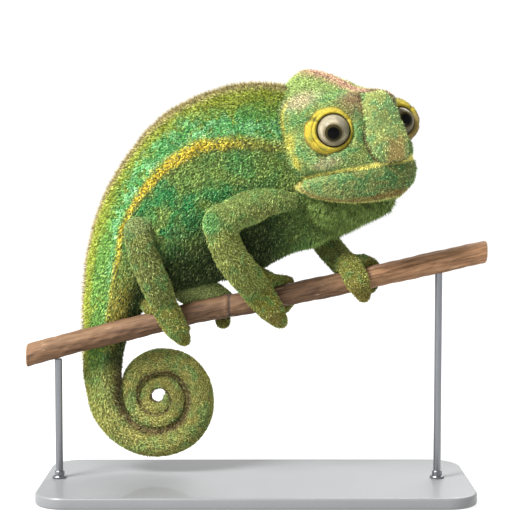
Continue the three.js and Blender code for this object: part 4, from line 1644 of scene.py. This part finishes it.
        # The last row of the roll joins the first, under the lid.
        under = (rows - 1) * sides
        for j in range(sides):
            k = (j + 1) % sides
            faces.append((under + j, under + k, k, j))
        made = new_mesh(f"lid_{self.name}", points, faces)
        # Painted shade for the felt: high at the roll's inner edge by the ball, along and under its outer
        # edge, in the folds and in the groove.
        crease = smooth(share, 0.75, 1.0) * 0.6 + (1 - smooth(share, 0.0, 0.1)) * 0.9
        crease = crease + fold * 0.8 + groove * 0.7
        # Painted shade on the lid, strongest on its lower rear side.
        soil = self.soil * smooth(rearward * 0.6 - upward, -0.1, 0.5)
        outward = self._turned(np.full(reach.shape, 3.0), reach, round_it) - self._centre()
        put_attribute(made.data, "crease", np.clip(crease, 0, 1).reshape(-1))
        put_attribute(made.data, "soil", np.tile(soil, rows))
        put_attribute(made.data, "comb", unit(outward.reshape(-1, 3)))
        put_attribute(made.data, "pile", np.full(len(points), 0.9 * MM))
        put_attribute(made.data, "lean", np.full(len(points), 0.6))
        made.data.shade_smooth()
        return made

    def _ground(self, lid: bpy.types.Object) -> bpy.types.Object:
        """A copy of the lid for the fuzz to grow on, unwrapped by its own rows and sides."""
        ground = lid.copy()
        ground.data = lid.data.copy()
        bpy.context.scene.collection.objects.link(ground)
        ground.data.uv_layers.new(name="unwrap")
        rows = len(ground.data.vertices) // self.lid_sides
        lengthwise = np.repeat(np.linspace(0, 1, rows), self.lid_sides)
        spots = np.column_stack([np.tile(np.arange(self.lid_sides) / self.lid_sides, rows), lengthwise])
        spots = spots[read_corners(ground.data)].astype(np.float32)
        ground.data.uv_layers[0].data.foreach_set("uv", spots.ravel())
        return ground


NEAR_EYE = Eye(-1)
# The far eye carries painted shade on its ball and its lid.
FAR_EYE = Eye(
    1, lid_turn=8.0, soil=0.75, brow=2.6, look_turn=-9.0, look_dip=2.0, ball=9.8, width=4.6, hood=3.6)


# ---- Branch and stand ----------------------------------------------------------------------


@dataclass(frozen=True)
class BranchFinish:
    """Peeled brown wood with long streaks, pale flecks and paler cut ends."""

    slope: float
    dark: Triple = paint(70, 48, 30)
    brown: Triple = paint(124, 92, 66)
    worn: Triple = paint(116, 88, 60)
    line: Triple = paint(62, 42, 28)
    fleck: Triple = paint(172, 146, 118)
    scar: Triple = paint(46, 38, 40)
    cut_pale: Triple = paint(190, 160, 124)
    cut_brown: Triple = paint(160, 128, 92)

    def material(self) -> bpy.types.Material:
        """Builds the material."""
        shader = Shader("peeled branch")

        def drawn_out(factor: float) -> Socket:
            """The place for a pattern that is longer along the branch by a factor."""
            return shader.stretched((0, -self.slope, 0), (factor, 1, 1))

        lie = drawn_out(14)
        streak = shader.noise(1.6, 4, lie, twist=0.3, rough=0.62)
        fine = shader.noise(0.5, 3, lie, rough=0.6)
        broad = shader.noise(9, 2, drawn_out(4))
        fleck = shader.noise(2.2, 2, drawn_out(5))
        made = shader.blend(streak.rise(0.32, 0.66), self.dark, self.brown)
        place = shader.value("ShaderNodeSeparateXYZ", {}, {0: shader.place}, 0)
        # Painted light: the branch is made lighter towards its right end, and a little towards its left end.
        light = 0.66 + place.rise(0.04, 0.1) * 1.3 + place.rise(-0.08, -0.12) * 0.2
        made = shader.shaded(made, light)
        made = shader.blend(broad.rise(0.4, 0.7) * 0.5, made, self.worn)
        made = shader.blend(fine.rise(0.55, 0.75) * 0.5, made, self.line)
        made = shader.blend(fleck.rise(0.64, 0.74) * 0.5, made, self.fleck)
        made = shader.blend(shader.attribute("scar"), made, self.scar)
        end = shader.blend(shader.noise(1.2, 2), self.cut_pale, self.cut_brown)
        made = shader.blend(shader.attribute("cut"), made, end)
        normal = shader.bumped(streak * 0.7 + fine * 0.3, 0.5)
        return shader.close({
            "Base Color": made, "Roughness": 0.72, "Normal": normal, "Specular IOR Level": 0.3,
        })


@dataclass
class Branch:
    """The cut length of branch that the animal grips."""

    radius: float = 8.0
    steps: int = 420
    sides: int = 48
    knot: float = -21.0
    peeled: float = 0.25
    eased: float = 0.7
    bow: Curve = Curve(
        [(-161, -0.6), (-140, 0.6), (-120, 1.2), (-80, 2.0), (-41, 3.0), (-22, 2.4), (-5, 1.3), (30, 0.7),
         (60, 0.1), (110, -0.1), (161, -0.4)])

    def build(self) -> None:
        """Makes the branch along the line of its CAD node."""
        low, high = node_box("perch")
        middle = (low + high) / 2
        slope = math.atan2(high[2] - low[2] - 2 * self.radius, high[0] - low[0])
        x = np.linspace(low[0], high[0], self.steps)
        bow = self.bow.at(np.linspace(0, 1, 300))
        z = middle[2] + (x - middle[0]) * math.tan(slope) + np.interp(x, bow[:, 0], bow[:, 1])
        far, turn = np.meshgrid(x, round_turn(self.sides), indexing="ij")
        past_knot = far - self.knot
        uneven = 0.14 * np.sin(far * 0.09 + 2 * turn) + 0.12 * np.sin(far * 0.23 + 3 * turn + 1)
        uneven += 0.1 * np.sin(far * 0.6 + turn * 5) + 0.08 * np.sin(turn * 9 + far * 0.05)
        ring = bell(past_knot, 1.6) * 0.55 - bell(past_knot - 2.4, 0.7) * 0.5
        ends = smooth(np.abs(far - low[0]), 0, 1.0) * smooth(np.abs(far - high[0]), 0, 1.0)
        radius = self.radius - self.peeled + uneven + ring - self.eased * (1 - ends)
        up = z[:, None] + radius * np.sin(turn) / math.cos(slope)
        points = np.stack([far, radius * np.cos(turn), up], -1)
        made = new_mesh("branch", points.reshape(-1, 3), grid_faces(self.steps, self.sides))
        scar = bell(past_knot - 2.4, 0.7) * 0.8
        scar += bell(past_knot - 1.5, 1.2) * bell(turn - 4.4, 0.25)
        put_attribute(made.data, "scar", np.clip(scar, 0, 1).reshape(-1))
        cut = np.zeros(far.shape)
        cut[0], cut[-1] = 1, 1
        put_attribute(made.data, "cut", cut.reshape(-1))
        made.data.materials.append(BranchFinish(slope).material())
        flat_ends(made.data)
        finish_piece(made, ["perch"])


@dataclass(frozen=True)
class BoardFinish:
    """Plain grey paint on a smooth board."""

    pale: Triple = paint(112, 113, 114)
    grey: Triple = paint(100, 101, 102)

    def material(self) -> bpy.types.Material:
        """Builds the material."""
        shader = Shader("painted board")
        soft, grain = shader.noise(40, 2), shader.noise(0.8, 3)
        return shader.close({
            "Base Color": shader.blend(soft * 0.5, self.pale, self.grey), "Roughness": 0.45,
            "Normal": shader.bumped(grain, 0.03), "Coat Weight": 0.2,
        })


@dataclass(frozen=True)
class SteelFinish:
    """Satin steel, brushed round the rod."""

    dark: Triple = paint(112, 114, 118)
    bright: Triple = paint(140, 142, 146)

    def material(self) -> bpy.types.Material:
        """Builds the material."""
        shader = Shader("satin steel")
        brushed = shader.noise(0.4, 3, shader.stretched((0, 0, 0), (1, 1, 30)))
        colour = shader.blend(brushed, self.dark, self.bright)
        return shader.close({"Base Color": colour, "Metallic": 1.0, "Roughness": brushed * 0.15 + 0.25})


@dataclass
class Stand:
    """The plain display stand: a painted board and two steel rods with ferrules.

    A ferrule is given as how far each of its rings stands out from the rod, and how high it is.
    """

    corner: float = 22.0
    edge: float = 1.6
    rod_radius: float = 2.6
    rod_sides: int = 48
    ferrule: tuple[tuple[float, float], ...] = (
        (2.4, 0.0), (2.4, 0.9), (2.1, 1.3), (0.9, 1.6), (0.9, 4.4), (0.5, 4.9))

    def build(self) -> None:
        """Makes the base and both rods where their CAD nodes are."""
        self._base()
        steel = SteelFinish().material()
        for side in ("left", "right"):
            self._rod(f"stand_rod_{side}", steel)

    def _base(self) -> None:
        """The board, with rounded corners and eased edges."""
        low, high = node_box("stand_base")
        half = (high - low)[:2] / 2 - self.corner
        plan = []
        for quarter, (sx, sy) in enumerate([(1, 1), (-1, 1), (-1, -1), (1, -1)]):
            turn = np.linspace(0, np.pi / 2, 14) + quarter * np.pi / 2
            plan += [(half[0] * sx, half[1] * sy, a) for a in turn]
        ease = np.linspace(0, np.pi / 2, 6)
        gone, left = self.edge * (1 - np.sin(ease)), self.edge * (1 - np.cos(ease))
        rings = []
        for inset, z in [*zip(gone, low[2] + left), *zip(left, high[2] - gone)]:
            radius = self.corner - inset
            rings.append([(x + radius * math.cos(a), y + radius * math.sin(a), z) for x, y, a in plan])
        points = np.array(rings).reshape(-1, 3)
        made = new_mesh("stand_board", points, grid_faces(len(rings), len(plan)))
        made.data.materials.append(BoardFinish().material())
        flat_ends(made.data)
        finish_piece(made, ["stand_base"])

    def _rod(self, node: str, steel: bpy.types.Material) -> None:
        """One rod with a ferrule on the board and an eased top under the branch."""
        low, high = node_box(node)
        middle, tall = (low + high) / 2, (high - low)[2]
        r = self.rod_radius
        foot = [(r + wider, up) for wider, up in self.ferrule]
        shaft = [(r, 5.0 + (tall - 6.0) * share) for share in np.linspace(0, 1, 12)]
        profile = np.array([*foot, *shaft, (r, tall - 0.5), (r - 0.5, tall)])
        angle = round_turn(self.rod_sides)
        reach, up = profile[:, :1], low[2] + profile[:, 1:] + 0 * angle
        points = np.stack([middle[0] + reach * np.cos(angle), middle[1] + reach * np.sin(angle), up], -1)
        made = new_mesh(f"{node}_turned", points.reshape(-1, 3), grid_faces(len(profile), self.rod_sides))
        made.data.materials.append(steel)
        made.data.shade_smooth()
        made.data.set_sharp_from_angle(angle=math.radians(35))
        finish_piece(made, [node])


# ---- Stage ---------------------------------------------------------------------------------


@dataclass(frozen=True)
class BackdropFinish:
    """A pale matt backdrop that glows a little, so that its far side stays even."""

    pale: Triple = (0.25, 0.25, 0.25)
    grey: Triple = (0.22, 0.22, 0.22)
    glow: float = 0.7

    def material(self) -> bpy.types.Material:
        """Builds the material."""
        shader = Shader("pale backdrop")
        return shader.close({
            "Base Color": shader.blend(shader.noise(400, 1) * 0.3, self.pale, self.grey),
            "Roughness": 0.9, "Emission Color": (1, 1, 1, 1), "Emission Strength": self.glow,
        })


@dataclass
class Studio:
    """Camera, soft lights and a pale round floor that curves up into a backdrop."""

    aim: Triple = (0.0, 0.0, 165.2)
    distance: float = 995.6
    elevation: float = 4.0
    lens: float = 100.0
    floor_radius: float = 3000.0
    floor_sides: int = 96
    bend: float = 900.0
    wall: float = 2600.0
    below: float = 0.05
    lamp_aim: Triple = (0.0, 0.0, 0.18)
    surround: float = 0.5

    def camera(self) -> None:
        """Puts the camera at the viewing angle."""
        data = bpy.data.cameras.new("camera")
        data.lens, data.sensor_width = self.lens, 36.0
        data.clip_start, data.clip_end = 0.05, 50.0
        camera = put_in_scene("camera", data)
        tilt = math.radians(self.elevation)
        back = Vector((0, -math.cos(tilt), math.sin(tilt)))
        camera.location = (Vector(self.aim) + back * self.distance) * MM
        camera.rotation_euler = (-back).to_track_quat("-Z", "Y").to_euler()
        bpy.context.scene.camera = camera

    def floor(self) -> None:
        """The round floor, curving up all the way round."""
        flat = self.floor_radius - self.bend
        outline = [(1.0, 0.0), (500.0, 0.0), (flat, 0.0)]
        for turn in np.linspace(0, np.pi / 2, 15)[1:]:
            outline.append((flat + self.bend * math.sin(turn), self.bend * (1 - math.cos(turn))))
        outline.append((self.floor_radius, self.wall))
        spots, angle = np.array(outline), round_turn(self.floor_sides)
        reach, up = spots[:, :1], spots[:, 1:] - self.below + 0 * angle
        points = np.stack([reach * np.cos(angle), reach * np.sin(angle), up], -1)
        faces = grid_faces(len(spots), self.floor_sides, closed=False)
        faces.append(tuple(range(self.floor_sides)))
        floor = new_mesh("studio_floor", points.reshape(-1, 3), faces)
        floor.data.materials.append(BackdropFinish().material())
        floor.data.shade_smooth()

    def _lamp(self, name: str, place: Triple, size: float, power: float) -> None:
        """One square soft light, in metres and watts, that shines on the model."""
        data = bpy.data.lights.new(name, "AREA")
        data.size, data.energy = size, power
        lamp = put_in_scene(name, data)
        lamp.location = place
        lamp.rotation_euler = (Vector(self.lamp_aim) - Vector(place)).to_track_quat("-Z", "Y").to_euler()

    def lights(self) -> None:
        """A large key light above and in front, one behind, and an even white surround."""
        self._lamp("key", (-1.1, -0.85, 1.5), 0.7, 108)
        self._lamp("back", (0.6, 1.2, 1.4), 0.9, 26)
        world = bpy.data.worlds.new("white surround")
        world.use_nodes = True
        light = world.node_tree.nodes["Background"].inputs
        light[0].default_value = (1, 1, 1, 1)
        light[1].default_value = self.surround
        bpy.context.scene.world = world
        bpy.context.scene.view_settings.view_transform = "Standard"


def main() -> None:
    """Builds the stage and then each sub-assembly in order."""
    logging.basicConfig(level=logging.INFO, format="%(message)s")
    studio = Studio()
    studio.camera()
    studio.floor()
    studio.lights()

    Branch().build()
    Stand().build()

    cloth = Skin()
    skin = cloth.build()
    Markings().store(skin.data, cloth.fields_of)
    skin.data.materials.append(SkinFinish().material())
    finish_piece(skin, [*HEAD_NODES, *TRUNK_NODES, *LIMB_NODES])

    pile = Pile()
    pile.build(skin, cloth.fields_of, cloth.face)

    felt, ball = LidFinish(), EyeFinish()
    finishes = (felt.material("lid fuzz", True), felt.material("lid felt", False), ball.material())
    for eye in (NEAR_EYE, FAR_EYE):
        eye.build(pile, finishes)
    bpy.data.objects.remove(pile.tuft)


if __name__ == "__main__":
    main()
